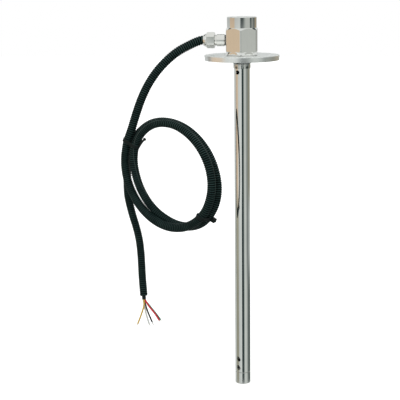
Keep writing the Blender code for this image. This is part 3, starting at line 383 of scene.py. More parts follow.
def metal(name):
    """A metal whose colour and roughness vary softly, with fine marks."""
    dark, light, roughness, stretch, mark_scale, mark_bump = METALS[name]
    mat, tree, shader = principled(name, Metallic=1.0)
    soft = noise_on(tree, stretched(tree), 55.0)
    marks = noise_on(tree, stretched(tree, stretch) if stretch else radial(tree), mark_scale, 4.0, 0.6)
    both = wired(tree, "Mix", [(0, 0.45), (2, soft), (3, marks)], data_type="FLOAT")[0]
    connect(tree, shader, between(tree, both, dark, light), spread(tree, both, *roughness),
            bump(tree, marks, mark_bump, METAL_GRAIN))
    return mat


def weld_steel():
    """Polished steel with dark scale where the weld's heat was; the same dark is also painted shade under the
    flange.
    """
    mat, tree, shader = principled("weld_steel", Metallic=1.0)
    marks = noise_on(tree, stretched(tree, UPRIGHT), 700.0, 4.0, 0.6)
    clean = between(tree, marks, (0.48, 0.5, 0.49), (0.74, 0.75, 0.73))
    # dark heat scale, also painted shade under the flange
    dark = between(tree, marks, (0.05, 0.065, 0.065), (0.22, 0.24, 0.235))
    tone = wired(tree, "Mix", [(0, attribute(tree, "scale")), (6, clean), (7, dark)],
                    data_type="RGBA")[2]
    connect(tree, shader, tone, spread(tree, marks, 0.07, 0.16), bump(tree, marks, 0.3, METAL_GRAIN))
    return mat


def plastic(name):
    dark, light, roughness, scale, shine = PLASTICS[name]
    mat, tree, shader = principled(name, Specular_IOR_Level=shine)
    coords = stretched(tree)
    soft = noise_on(tree, coords, scale)
    fine = noise_on(tree, coords, 30.0 * scale, 2.0)
    connect(tree, shader, between(tree, soft, dark, light), spread(tree, soft, *roughness),
            bump(tree, fine, 0.15, PLASTIC_GRAIN))
    return mat


def corrugated_plastic():
    """Black plastic that is a little greyer on the ribs' crests than in the valleys: wear on the crests, and
    painted shade in the valleys, which also shine less.
    """
    mat, tree, shader = principled("corrugated_plastic")
    crest = attribute(tree, "crest")
    coords = stretched(tree)
    soft = noise_on(tree, coords, 120.0, 4.0)
    fine = noise_on(tree, coords, 4000.0, 2.0)
    # wear on the crests, painted shade in the valleys
    wear_and_shade = calc(tree, "MULTIPLY", crest, soft)
    colour = ramp(tree, wear_and_shade, [(0.0, (0.0014, 0.0046, 0.0046)), (0.3, (0.017, 0.037, 0.0352)),
                               (0.7, (0.046, 0.088, 0.082))])
    # painted shade: the valleys shine less than the crests
    tree.links.new(spread(tree, crest, 0.03, 0.16), shader.inputs["Specular IOR Level"])
    connect(tree, shader, colour, spread(tree, soft, 0.36, 0.52), bump(tree, fine, 0.12, PLASTIC_GRAIN))
    return mat


def look(name):
    """The metal or plastic of that name, made when it's first asked for."""
    if name not in LOOKS_MADE:
        LOOKS_MADE[name] = metal(name) if name in METALS else plastic(name)
    return LOOKS_MADE[name]


# Meshes

def circle(count):
    return [2 * pi * k / count for k in range(count)]


def around(centre, out, front, angle, radius):
    return centre + (out * cos(angle) + front * sin(angle)) * radius


def facing_at(angle):
    return Vector((cos(angle), sin(angle)))


def bend(start, corner, end, t):
    """A point of the curve that leaves the start and reaches the end, each towards the corner."""
    return start * (1 - t) ** 2 + corner * 2 * t * (1 - t) + end * t ** 2


def linked(name, data):
    obj = bpy.data.objects.new(name, data)
    bpy.context.scene.collection.objects.link(obj)
    return obj


def new_object(name, bm, mats, smooth_deg=32.0):
    bmesh.ops.recalc_face_normals(bm, faces=bm.faces)
    mesh = bpy.data.meshes.new(name)
    bm.to_mesh(mesh)
    bm.free()
    mesh.shade_smooth()
    mesh.set_sharp_from_angle(angle=radians(smooth_deg))
    for mat in mats:
        mesh.materials.append(mat)
    return linked(name, mesh)


def rounded(points, radius, steps=4):
    """A closed profile with its corners rounded. A corner's own radius is its third number."""
    result = []
    count = len(points)
    for i, point in enumerate(points):
        corner = Vector(point[:2])
        want = point[2] if len(point) > 2 else radius
        back = Vector(points[i - 1][:2]) - corner
        on = Vector(points[(i + 1) % count][:2]) - corner
        angle = back.angle(on, pi)
        if want <= 0.0 or corner.x < 0.00001 or angle > radians(175.0):
            result.append(tuple(corner))
            continue
        reach = min(want / tan(angle / 2), 0.45 * back.length, 0.45 * on.length)
        start = corner + back.normalized() * reach
        end = corner + on.normalized() * reach
        result += [tuple(bend(start, corner, end, k / steps)) for k in range(steps + 1)]
    return result


def lathe(profile, steps=192):
    """A bmesh of a closed (radius, height) profile turned about Z."""
    bm = bmesh.new()
    rings = []
    for radius, height in profile:
        if radius < 0.00001:
            rings.append([bm.verts.new((0.0, 0.0, height))])
            continue
        rings.append([bm.verts.new((radius * cos(a), radius * sin(a), height)) for a in circle(steps)])
    for ring, after in zip(rings, rings[1:] + rings[:1]):
        if len(ring) == 1 and len(after) == 1:
            continue
        for k in range(steps):
            j = (k + 1) % steps
            corners = (ring[k % len(ring)], ring[j % len(ring)], after[j % len(after)], after[k % len(after)])
            bm.faces.new(list(dict.fromkeys(corners)))
    return bm


def lay_along_gland(bm):
    bmesh.ops.transform(bm, matrix=ALONG_GLAND, verts=bm.verts)
    return bm


def hex_bar(across_flats, low, high, corner_bevel, turn_deg=0.0, crown=0.0):
    """A hexagonal bar about Z with rounded corners. Before its turn, two flats face -X and +X."""
    half = across_flats / 2 * tan(radians(30.0)) - corner_bevel
    flats = []
    for i in range(6):
        middle = radians(60.0 * i + turn_deg)
        out = facing_at(middle)
        side = Vector((-out.y, out.x))
        shares = [k / FLAT_STEPS for k in range(-FLAT_STEPS, FLAT_STEPS + 1)]
        flats.append([out * (across_flats / 2 - crown * share * share) + side * half * share
                      for share in shares])
    smooth = []
    for i, (flat, after) in enumerate(zip(flats, flats[1:] + flats[:1])):
        middle = radians(60.0 * (i + 0.5) + turn_deg)
        tip = facing_at(middle) * (across_flats / sqrt(3.0))
        smooth += flat + [bend(flat[-1], tip, after[0], k / CORNER_STEPS) for k in range(1, CORNER_STEPS)]
    bm = bmesh.new()
    sweep(bm, [[(p.x, p.y, z) for p in smooth] for z in (low, high)])
    return bm


def combine(obj, cutter, operation, smooth_deg=32.0):
    """Applies a Boolean with a cutter, which it then removes."""
    modifier = obj.modifiers.new("Cut", "BOOLEAN")
    modifier.operation = operation
    modifier.solver = "EXACT"
    modifier.object = cutter
    bpy.context.view_layer.update()
    mesh = bpy.data.meshes.new_from_object(obj.evaluated_get(bpy.context.evaluated_depsgraph_get()))
    obj.modifiers.remove(modifier)
    mesh.shade_smooth()
    mesh.set_sharp_from_angle(angle=radians(smooth_deg))
    old = obj.data
    obj.data = mesh
    bpy.data.meshes.remove(old)
    bpy.data.objects.remove(cutter, do_unlink=True)


def flat_faces(obj):
    obj.modifiers.new("Flat faces", "WEIGHTED_NORMAL").keep_sharp = True
    return obj


def as_piece(obj, slot, *nodes):
    """Hides the model's nodes that a piece stands for, and makes it ride with the part. Its slot is not used.
    """
    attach(obj, BODY)
    if nodes:
        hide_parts(*nodes)
    return obj


# Routes

def smooth_route(points, spacing):
    """Evenly spaced points on a smooth curve through the route's own points."""
    route = [Vector(p) for p in points]
    route = [2 * route[0] - route[1]] + route + [2 * route[-1] - route[-2]]
    fine = []
    for a, b, c, d in zip(route, route[1:], route[2:], route[3:]):
        for i in range(CURVE_STEPS):
            t = i / CURVE_STEPS
            fine.append(0.5 * (2 * b + (c - a) * t + (2 * a - 5 * b + 4 * c - d) * t ** 2
                               + (3 * b - a - 3 * c + d) * t ** 3))
    fine.append(route[-2])
    return even_points(fine, spacing)


def even_points(fine, spacing):
    lengths = [0.0]
    for a, b in zip(fine, fine[1:]):
        lengths.append(lengths[-1] + (b - a).length)
    count = max(2, round(lengths[-1] / spacing))
    result = []
    at = 0
    for i in range(count + 1):
        want = lengths[-1] * i / count
        while at < len(fine) - 2 and lengths[at + 1] < want:
            at += 1
        share = (want - lengths[at]) / max(lengths[at + 1] - lengths[at], 1e-9)
        result.append(fine[at].lerp(fine[at + 1], share))
    return result


def route_length(points):
    return sum((b - a).length for a, b in zip(points, points[1:]))


def keyed(value, keys):
    """A value read between keys, eased."""
    if value <= keys[0][0]:
        return keys[0][1]
    for (a, from_value), (b, to_value) in zip(keys, keys[1:]):
        if value <= b:
            share = (value - a) / (b - a)
            share = share * share * (3.0 - 2.0 * share)
            return from_value + (to_value - from_value) * share
    return keys[-1][1]


def coil_directions():
    """The level direction in the coil's plane, and the one square to the plane, towards the back."""
    swing = radians(COIL_SWING_DEG)
    return Vector((cos(swing), -sin(swing), 0.0)), Vector((sin(swing), cos(swing), 0.0))


def coil_frame(turn):
    """The point of the coil's oval at a turn angle, and its outward direction."""
    angle = radians(turn)
    tilt = radians(COIL_TILT_DEG)
    level = coil_directions()[0]
    upright = Vector((0.0, 0.0, 1.0))
    long_axis = level * cos(tilt) + upright * sin(tilt)
    short_axis = upright * cos(tilt) - level * sin(tilt)
    middle = Vector((COIL_HINGE_X, 0.0, COIL_CENTRE[1])) + level * (COIL_CENTRE[0] - COIL_HINGE_X)
    point = middle + long_axis * COIL_LONG_R * cos(angle) + short_axis * COIL_SHORT_R * sin(angle)
    outwards = long_axis * cos(angle) / COIL_LONG_R + short_axis * sin(angle) / COIL_SHORT_R
    return point, outwards.normalized()


def coil_point(turn):
    for (a, offset_a, depth_a), (b, offset_b, depth_b) in zip(COIL_KEYS, COIL_KEYS[1:]):
        if turn <= b:
            break
    share = min(1.0, max(0.0, (turn - a) / (b - a)))
    offset = (offset_a + (offset_b - offset_a) * share) * PITCH
    depth = (depth_a + (depth_b - depth_a) * share) * PITCH
    point, outwards = coil_frame(turn)
    return point + outwards * offset + coil_directions()[1] * depth


def conduit_route():
    """The conduit's middle line from the gland to its cut end, about 1 mm a step and free of kinks."""
    points = [Vector(p) for p in (CONDUIT_START, *LEAD_ROUTE)]
    steps = round((COIL_END_DEG - COIL_START_DEG) / COIL_STEP_DEG)
    for i in range(steps + 1):
        points.append(coil_point(COIL_START_DEG + (COIL_END_DEG - COIL_START_DEG) * i / steps))
    points += [Vector(p) for p in TAIL_ROUTE]
    raw = smooth_route(points, ROUTE_STEP)
    eased = []
    for i in range(len(raw)):
        reach = min(ROUTE_EASE, i, len(raw) - 1 - i)
        near = raw[i - reach:i + reach + 1]
        eased.append(sum(near, Vector()) / len(near))
    return even_points(eased, ROUTE_STEP)


def section_frames(points):
    """At each point of a route that keeps out of the Y direction: along, outwards and to the front."""
    frames = []
    for i in range(len(points)):
        along = (points[min(i + 1, len(points) - 1)] - points[max(i - 1, 0)]).normalized()
        out = along.cross(-Y_AXIS).normalized()
        frames.append((along, out, out.cross(along)))
    return frames


def sweep(bm, rings, closed=False):
    """Joins rings of points into a skin, with a cap at each end unless the last one joins the first."""
    made = [[bm.verts.new(p) for p in ring] for ring in rings]
    for ring, after in zip(made, made[1:] + (made[:1] if closed else [])):
        for k in range(len(ring)):
            j = (k + 1) % len(ring)
            bm.faces.new((ring[k], ring[j], after[j], after[k]))
    if not closed:
        bm.faces.new(made[0])
        bm.faces.new(made[-1])
    return made


def tube_rings(points, radii, sides):
    return [[around(point, out, front, angle, radius) for angle in circle(sides)]
            for point, (_, out, front), radius in zip(points, section_frames(points), radii)]


def swept_piece(name, rings, look_name, smooth_deg, slot, *nodes, closed=False):
    bm = bmesh.new()
    sweep(bm, rings, closed)
    return as_piece(new_object(name, bm, [look(look_name)], smooth_deg), slot, *nodes)


def placed(x_axis, y_axis, z_axis, at):
    place = Matrix((x_axis, y_axis, z_axis)).transposed().to_4x4()
    place.translation = at
    return place


# Conduit and cable

def make_conduit(route):
    """The corrugated conduit: ribs all along it, a slit with a raised lip, and an open cut end."""
    total = route_length(route)
    frames = section_frames(route)
    ribs = round(total / RIB_PITCH)
    pitch = total / ribs
    side_angles = [-SEAM_GROOVE_DEG, -SEAM_HALF_DEG, SEAM_HALF_DEG, SEAM_GROOVE_DEG]
    for k in range(1, CONDUIT_SIDES):
        side_angles.append(SEAM_GROOVE_DEG + (360.0 - 2 * SEAM_GROOVE_DEG) * k / CONDUIT_SIDES)
    rings = []
    crests = []

    def ring_at(run, radii, crest):
        at = min(run / total, 1.0) * (len(route) - 1)
        i = min(int(at), len(route) - 2)
        centre = route[i].lerp(route[i + 1], at - i)
        out = frames[i][1].lerp(frames[i + 1][1], at - i)
        front = frames[i][2].lerp(frames[i + 1][2], at - i)
        seam = keyed(run, SEAM_KEYS)
        slim = keyed(run / total, SLIM_KEYS)
        ring = []
        for degrees, radius in zip(side_angles, radii):
            angle = radians(seam + degrees)
            ring.append(centre + (out * cos(angle) + front * sin(angle)) * radius * slim)
        rings.append(ring)
        crests.append(crest)

    rest = len(side_angles) - 4
    rise = RIB_CREST_R - RIB_VALLEY_R
    for rib in range(ribs):
        for share, stand, wear_and_shade in RIB_SHAPE:
            radius = RIB_VALLEY_R + rise * stand
            lip = max(radius, RIB_VALLEY_R + rise * SEAM_LIP)
            ring_at((rib + share) * pitch, [RIB_VALLEY_R, lip, lip, RIB_VALLEY_R] + [radius] * rest, wear_and_shade)
    for run, radius in ((total, RIB_VALLEY_R), (total, CONDUIT_BORE_R),
                        (total - CONDUIT_BORE_DEPTH, CONDUIT_BORE_R)):
        ring_at(run, [radius] * len(side_angles), 0.0)
    bm = bmesh.new()
    layer = bm.verts.layers.float.new("crest")
    made = sweep(bm, rings)
    for ring, crest in zip(made, crests):
        for vert in ring:
            vert[layer] = crest
    for ring, after in zip(made[:-3], made[1:-2]):
        for face in set(ring[1].link_faces) & set(ring[2].link_faces) & set(after[1].link_faces):
            face.material_index = 1
    return new_object("corrugated_conduit", bm, [corrugated_plastic(), look("seam_plastic")], 180.0)


def make_cable_end(route):
    """The sheath that comes out of the conduit, and five wires with bared, tinned ends."""
    end = route[-1]
    along = (route[-1] - route[-4]).normalized()
    out = along.cross(-Y_AXIS).normalized()
    front = out.cross(along)
    rings = []
    for run, radius in ((-SHEATH_INSIDE, SHEATH_R), (SHEATH_L - 0.0002, SHEATH_R),
                        (SHEATH_L, SHEATH_R - 0.0001), (SHEATH_L, SHEATH_BORE_R),
                        (-SHEATH_INSIDE + 0.0003, SHEATH_BORE_R)):
        ring = []
        for angle in circle(SHEATH_SIDES):
            ragged = SHEATH_RAGGED * sin(3 * angle + 1.0) if run > 0 else 0.0
            ring.append(around(end + along * run + along * ragged, out, front, angle, radius))
        rings.append(ring)
    sheath = swept_piece("cable_sheath", rings, "cable_jacket", 32.0, "sheath_plastic", "cable_end")
    stop = end + along * SHEATH_L
    for name, (angle_deg, far) in WIRES.items():
        at = around(stop, out, front, radians(angle_deg), -WIRE_CIRCLE_R)
        points = [at + along * run for run in (-WIRE_INSIDE, -0.006, 0.0003)]
        points = smooth_route(points + [Vector(p) for p in far], WIRE_STEP)
        cut = len(points) - 1 - round(TIP_L[name] / WIRE_STEP)
        covered = points[:cut + 1]
        radii = [WIRE_R] * (len(covered) - 1) + [WIRE_R * WIRE_END_SHARE]
        wire = swept_piece(f"wire_{name}_cover", tube_rings(covered, radii, WIRE_SIDES), name + "_wire", 50.0,
                           name + "_insulation", "wire_" + name)
        bared = even_points([covered[-2]] + points[cut:], TIP_STEP)
        rings = []
        for i, (point, (_, o, f)) in enumerate(zip(bared, section_frames(bared))):
            ring = []
            for a in circle(TIP_SIDES):
                lobe = TIP_R * (1.0 + TIP_LOBE * cos(TIP_STRANDS * a + TIP_TWIST * i))
                if i > len(bared) - 3:
                    lobe *= TIP_END_SHARE
                ring.append(around(point, o, f, a, lobe))
            rings.append(ring)
        tip = swept_piece(f"wire_{name}_strands", rings, "tinned_strands", 60.0, "tinned_copper")
    return sheath


def hull_loop(strands, radius):
    """The tight outline around round strands: points with the direction that each one faces."""
    loop = []
    for angle in circle(TIE_SAMPLES):
        facing = facing_at(angle)
        best = max(strands, key=lambda s: s.dot(facing))
        loop.append((best + facing * radius, facing))
    return loop


def make_tie(name, route):
    """A cable tie: a strap drawn tight around the strands, its square head, and any trimmed tail."""
    turn, lean_deg, head_deg = TIES[name]
    point, outwards = coil_frame(turn)
    back = coil_directions()[1]
    across = Matrix.Rotation(radians(lean_deg), 3, back) @ outwards
    place = placed(across, back, across.cross(back), point)
    inverse = place.inverted()
    near = [inverse @ p for p in route]
    strands = [p.xy for p in near if abs(p.z) <= TIE_W / 2 and p.xy.length < TIE_REACH]
    inner_r = CONDUIT_D / 2 + TIE_CLEARANCE
    half = TIE_W / 2
    edge = TIE_EDGE
    dip = TIE_T - TIE_DIP
    section = [(0.0, -half + edge), (0.0, half - edge), (edge * 0.6, half), (TIE_T - edge, half),
               (TIE_T, half - edge), (dip, half - 3 * edge), (dip, -half + 3 * edge), (TIE_T, -half + edge),
               (TIE_T - edge, -half), (edge * 0.6, -half)]
    rings = []
    for spot, facing in hull_loop(strands, inner_r):
        rings.append([place @ ((spot + facing * out).to_3d() + Vector((0.0, 0.0, z))) for out, z in section])
    strap = swept_piece(f"tie_{name}_strap", rings, "black_nylon", 40.0, "tie_nylon", "cable_tie_" + name,
                        closed=True)
    facing = facing_at(radians(head_deg))
    spot = max(strands, key=lambda s: s.dot(facing)) + facing * (inner_r + TIE_HEAD[0] / 2 - TIE_HEAD_SUNK)
    side = Vector((-facing.y, facing.x))
    bm = bmesh.new()
    bmesh.ops.create_cube(bm, size=1.0)
    bmesh.ops.scale(bm, vec=TIE_HEAD, verts=bm.verts)
    bm.normal_update()
    top = [f for f in bm.faces if f.normal.x > 0.9]
    bmesh.ops.inset_region(bm, faces=top, thickness=TIE_HEAD_RIM, depth=0.0)
    bmesh.ops.translate(bm, vec=(-TIE_HEAD_POCKET, 0.0, 0.0), verts=list(top[0].verts))
    bmesh.ops.bevel(bm, geom=bm.edges[:], offset=TIE_HEAD_BEVEL, segments=3, affect="EDGES", profile=0.5,
                    clamp_overlap=True)
    local = placed(facing.to_3d(), side.to_3d(), Vector((0.0, 0.0, 1.0)), spot.to_3d())
    bmesh.ops.transform(bm, matrix=place @ local, verts=bm.verts)
    head = as_piece(new_object(f"tie_{name}_head", bm, [look("black_nylon")], 40.0), "tie_nylon")
    if name not in TIE_TAILS:
        return [strap, head]
    start = place @ Vector((min(s.x for s in strands) - inner_r - TIE_T / 2, 0.0, 0.0))
    far_outwards = coil_frame(TIE_TAILS[name])[1]
    end = coil_point(TIE_TAILS[name]) - far_outwards * (CONDUIT_D / 2 + TIE_TAIL_STAND)
    middle = (start + end) / 2 + far_outwards * TIE_TAIL_BOW
    path = smooth_route([start, middle, end], TIE_TAIL_STEP)
    half_w = TIE_TAIL_W / 2
    half_t = TIE_TAIL_T / 2
    rings = []
    for i, spot in enumerate(path):
        along = (path[min(i + 1, len(path) - 1)] - path[max(i - 1, 0)]).normalized()
        thick = along.cross(back).normalized()
        grow = 1.0 if i < len(path) - TIE_TAIL_KNOB_STEPS else TIE_TAIL_KNOB
        rings.append([spot + back * w * half_w + thick * t * half_t * grow for w, t in TIE_TAIL_SECTION])
    return [strap, head, swept_piece(f"tie_{name}_tail", rings, "black_nylon", 40.0, "tie_nylon")]


def make_cords():
    route = conduit_route()
    conduit = make_conduit(route)
    as_piece(conduit, "conduit_plastic", "conduit_lead", "conduit_coil", "conduit_tail")
    pieces = [make_cable_end(route)]
    for name in TIES:
        pieces += make_tie(name, route)


# Metal

def cut_holes(obj, shapes):
    """Cuts all the shapes out of an object at once."""
    cutters = bmesh.new()
    for shape in shapes:
        mesh = bpy.data.meshes.new("hole")
        shape.to_mesh(mesh)
        shape.free()
        cutters.from_mesh(mesh)
        bpy.data.meshes.remove(mesh)
    combine(obj, new_object("holes", cutters, []), "DIFFERENCE")


def make_flange():
    profile = rounded([(COLLAR_BORE_R, 0.0), (FLANGE_R, 0.0), (FLANGE_R, FLANGE_T),
                       (COLLAR_BORE_R, FLANGE_T)], 0.00035)
    flange = new_object("flange_plate", lathe(profile, 256), [look("turned_steel"), look("turned_rim")])
    for face in flange.data.polygons:
        if abs(face.normal.z) < 0.5 and face.center.xy.length > BOLT_CIRCLE_R:
            face.material_index = 1
    edge = 0.0003
    past = 0.0005
    wide = BOLT_HOLE_R + edge + past
    shapes = []
    for i in range(4):
        angle = radians(BOLT_START_DEG + 90.0 * i)
        shape = lathe([(0.0, -past), (wide, -past), (BOLT_HOLE_R, edge), (BOLT_HOLE_R, FLANGE_T - edge),
                       (wide, FLANGE_T + past), (0.0, FLANGE_T + past)], 64)
        at = (BOLT_CIRCLE_R * cos(angle), BOLT_CIRCLE_R * sin(angle), 0.0)
        bmesh.ops.translate(shape, vec=at, verts=shape.verts)
        shapes.append(shape)
    cut_holes(flange, shapes)
    as_piece(flat_faces(flange), "turned_steel", "flange")


def make_collar():
    """The weld under the flange: a short cone, then a bead whose surface ripples a little."""
    profile = [(COLLAR_BORE_R, -0.0003), (0.0098, -0.0003), (0.0097, -0.0009), (0.0091, -0.003)]
    for i in range(BEAD_STEPS + 1):
        share = i / BEAD_STEPS
        profile.append((BEAD_R + BEAD_SWELL * sin(pi * share),
                        BEAD_TOP + (BEAD_LOW - BEAD_TOP) * share))
    profile.append((COLLAR_BORE_R, BEAD_LOW))
    bm = lathe(profile, 220)
    # The scale layer rises towards the flange: heat scale, and painted shade under the flange
    layer = bm.verts.layers.float.new("scale")
    for vert in bm.verts:
        outwards = Vector((vert.co.x, vert.co.y, 0.0)).normalized()
        vert[layer] = max(0.0, min(1.0, (vert.co.z - SHADE_AND_SCALE_LOW) / SHADE_AND_SCALE_FADE))
        # Two dents in the bead, which the scale layer darkens as painted dark reflections
        for degrees, height in DARK_REFLECTION_PITS:
            angle = radians(degrees + CAMERA_AZIMUTH_DEG)
            pit = Vector((sin(angle) * WELD_PIT_RING_R, -cos(angle) * WELD_PIT_RING_R, height))
            depth = exp(-((vert.co - pit).length / WELD_PIT_R) ** 2)
            vert[layer] = max(vert[layer], min(1.0, 2.2 * depth))
            vert.co -= outwards * WELD_PIT_DEPTH * depth
        if BEAD_RIPPLED[0] < vert.co.z < BEAD_RIPPLED[1]:
            angle = atan2(vert.co.y, vert.co.x)
            ripple = 0.00003 * sin(34 * angle) + 0.00022 * noise.noise(vert.co * 210.0)
            vert.co += outwards * ripple
    as_piece(new_object("weld_collar", bm, [weld_steel()], 50.0), "polished_steel", "probe_collar")


def make_tube():
    profile = rounded([(TUBE_BORE_R, TUBE_TOP), (TUBE_BORE_R, TUBE_END), (TUBE_R, TUBE_END, 0.0004),
                       (TUBE_R, TUBE_TOP)], 0.0001, 3)
    tube = new_object("probe_tube", lathe(profile), [look("polished_steel")])
    azimuth = radians(HOLE_AZIMUTH_DEG)
    out = Vector((-sin(azimuth), -cos(azimuth), 0.0))
    side = Vector((cos(azimuth), -sin(azimuth), 0.0))
    turn = out.to_track_quat("Z", "Y").to_matrix().to_4x4()
    for height, runs in TUBE_HOLES:
        radius = TUBE_HOLE_R if len(runs) == 1 else DRAIN_HOLE_R
        for sideways, up in runs:
            shape = bmesh.new()
            bmesh.ops.create_cone(shape, cap_ends=True, segments=64, radius1=radius, radius2=radius,
                                  depth=0.006)
            turn.translation = out * TUBE_R + side * sideways + Vector((0.0, 0.0, height + up))
            bmesh.ops.transform(shape, matrix=turn, verts=shape.verts)
            cut_holes(tube, [shape])
    as_piece(flat_faces(tube), "polished_steel", "outer_tube")


def make_end_cap():
    shoulder = TUBE_END - 0.0003
    profile = rounded([(0.0, -0.3293), (0.0056, -0.3293), (0.0056, -0.3243),
                       (0.0067, -0.3243, 0.0002), (0.0067, shoulder), (TUBE_R, shoulder, 0.0004),
                       (TUBE_R, PROBE_END, 0.0009), (0.0, PROBE_END)], 0.0, 6)
    cap = new_object("probe_end_cap", lathe(profile), [look("polished_steel")])
    as_piece(flat_faces(cap), "polished_steel", "end_cap")


def make_head():
    """The head: a round foot with a weld fillet, a hexagon with turned chamfers, and a round top."""
    blank_r = HEX_AF / sqrt(3.0) * BLANK_SPARE
    points = [(HEAD_HOLE_R, HEAD_FOOT), (0.0172, HEAD_FOOT), (0.0167, 0.0058, 0.0004),
              (0.016, 0.0071, 0.0006), (HEAD_FOOT_R, HEX_LOW), (HEX_LOW_R, HEX_LOW),
              (blank_r, HEX_LOW + (blank_r - HEX_LOW_R) * HEX_TOP_SLOPE),
              (blank_r, HEX_HIGH - (blank_r - HEX_HIGH_R) * HEX_TOP_SLOPE), (HEX_HIGH_R, HEX_HIGH),
              (HEAD_TOP_R, HEX_HIGH, 0.0003), (HEAD_TOP_R, HEAD_TOP, 0.0005),
              (COVER_SEAT_R, HEAD_TOP, 0.0002), (COVER_SEAT_R, COVER_LOW), (HEAD_BORE_R, COVER_LOW),
              (HEAD_BORE_R, HEAD_FLOOR), (HEAD_HOLE_R, HEAD_FLOOR)]
    head = new_object("head_body", lathe(rounded(points, 0.0), 240), [look("milled_steel")])
    bar = new_object("bar", hex_bar(HEX_AF, -0.01, 0.06, 0.0011), [])
    combine(head, bar, "INTERSECT")
    bm = bmesh.new()
    bmesh.ops.create_cone(bm, cap_ends=True, segments=96, radius1=GLAND_ENTRY_R, radius2=GLAND_ENTRY_R,
                          depth=0.012)
    bmesh.ops.translate(bm, vec=(0.0, 0.0, 0.014), verts=bm.verts)
    combine(head, new_object("entry", lay_along_gland(bm), []), "DIFFERENCE", 30.0)
    as_piece(flat_faces(head), "polished_steel", "head_housing")


def make_cover():
    points = [(0.0, HEAD_TOP), (COVER_R, HEAD_TOP, 0.0003), (COVER_R, 0.0409), (0.0117, 0.0409),
              (0.0117, 0.0398), (0.0106, 0.0398), (0.0106, 0.0383), (0.0117, 0.0383),
              (0.0117, 0.0373), (0.0, 0.0373)]
    points.reverse()
    cover = new_object("head_lid", lathe(rounded(points, 0.0), 160), [look("turned_steel")])
    as_piece(flat_faces(cover), "polished_steel", "head_cover")


def make_gland():
    washer = rounded([(0.0048, 0.0158), (0.0053, 0.0158), (0.0053, 0.0166), (0.0048, 0.0166)], 0.00015)
    ring = new_object("gland_flat_washer", lay_along_gland(lathe(washer, 128)), [look("black_rubber")])
    as_piece(ring, "seal_rubber", "gland_washer")
    body = [(0.0025, 0.0126), (0.0045, 0.0126, 0.0003), (0.0045, 0.0169), (0.006, 0.0169, 0.0007),
            (0.006, 0.0249, 0.0006), (0.0054, 0.0249), (0.0054, 0.0267, 0.0003), (0.0047, 0.0267),
            (0.0047, 0.0339), (0.0025, 0.0339)]
    nickel = [look("nickel_plating")]
    sleeve = new_object("gland_sleeve", lay_along_gland(lathe(rounded(body, 0.0), 160)), nickel, 40.0)
    as_piece(flat_faces(sleeve), "nickel_plate", "gland_body")
    blank_r = NUT_AF / sqrt(3.0) * BLANK_SPARE
    face_r = 0.0069
    drop = (blank_r - face_r) * CHAMFER_SLOPE
    nut = [(0.005, NUT_AT), (face_r, NUT_AT), (blank_r, NUT_AT + drop),
           (blank_r, DOME_AT - drop), (face_r, DOME_AT), (0.0064, DOME_AT, 0.0002),
           (0.0063, DOME_AT + 0.0011, 0.0012), (0.0056, DOME_AT + 0.0026, 0.0012), (0.0049, NUT_END, 0.0004),
           (0.0023, NUT_END), (0.0023, 0.0368), (0.005, 0.0368)]
    obj = new_object("gland_dome_nut", lathe(rounded(nut, 0.0)), nickel)
    bar = new_object("bar", hex_bar(NUT_AF, 0.0, 0.06, 0.0006, 30.0, 0.00006), [])
    combine(obj, bar, "INTERSECT")
    obj.data.transform(ALONG_GLAND)
    obj.data.set_sharp_from_angle(angle=radians(30.0))
    as_piece(flat_faces(obj), "nickel_plate", "gland_nut")


def make_metal():
    make_flange()
    make_collar()
    make_tube()
    make_end_cap()
    make_head()
    make_cover()
    make_gland()


def dress_inside():
    """The pieces inside keep the model's own shapes and get materials of their own."""
    for name, nodes in INSIDE.items():
        for node in nodes:
            mesh = bpy.data.objects[node].data
            mesh.materials.clear()
            mesh.materials.append(look(name))


# Stage

def make_camera():
    yaw, tilt, roll = CAMERA_YAW, CAMERA_TILT, CAMERA_ROLL
    ahead = Vector((sin(yaw) * cos(tilt), cos(yaw) * cos(tilt), -sin(tilt)))
    right = Vector((cos(yaw), -sin(yaw), 0.0))
    up = right.cross(ahead)
    level = right * cos(roll) + up * sin(roll)
    rise = up * cos(roll) - right * sin(roll)
    data = bpy.data.cameras.new("camera")
    data.lens = CAMERA_LENS
    data.clip_start = 0.01
    camera = linked("camera", data)
    camera.matrix_world = placed(level, rise, -ahead, Vector(CAMERA_AT))
    bpy.context.scene.camera = camera


def emit(tree, colour, strength=1.0):
    return wired(tree, "Emission", [("Color", colour), ("Strength", strength)])[0]


def camera_sees(tree):
    """1 for what the camera sees itself or through glass, 0 for the light that falls on things."""
    path = wired(tree, "LightPath")
    return calc(tree, "MAXIMUM", path["Is Camera Ray"], path["Is Transmission Ray"])


def make_floor():
    bm = bmesh.new()
    bmesh.ops.create_grid(bm, x_segments=2, y_segments=2, size=8.0)
    bmesh.ops.translate(bm, vec=(0.0, 0.0, FLOOR_Z), verts=bm.verts)
    mat = bpy.data.materials.new("white_floor")
    tree = empty_tree(mat)
    tone = between(tree, noise_on(tree, own_coords(tree), 3.0), (0.78, 0.78, 0.78), (0.8, 0.8, 0.8))
    diffuse = wired(tree, "BsdfDiffuse", [("Color", tone)])[0]
    glow = emit(tree, WHITE, FLOOR_LIFT)
    lifted = wired(tree, "AddShader", [(0, diffuse), (1, glow)])[0]
    inputs = [(0, camera_sees(tree)), (1, diffuse), (2, lifted)]
    shader = wired(tree, "MixShader", inputs)[0]
    wired(tree, "OutputMaterial", [("Surface", shader)])
    new_object("floor", bm, [mat])


BACK_GREY = (0.6, 0.61, 0.6)
SIDE_GREY = (0.64, 0.66, 0.65)
UPPER_TAN = (0.78, 0.61, 0.455)
HEAD_TOP_TAN = (0.64, 0.5, 0.37)


def tan_side(*tone):
    return (-180, *BACK_GREY), (-108, *SIDE_GREY), (-103, *tone), (-60, *tone)


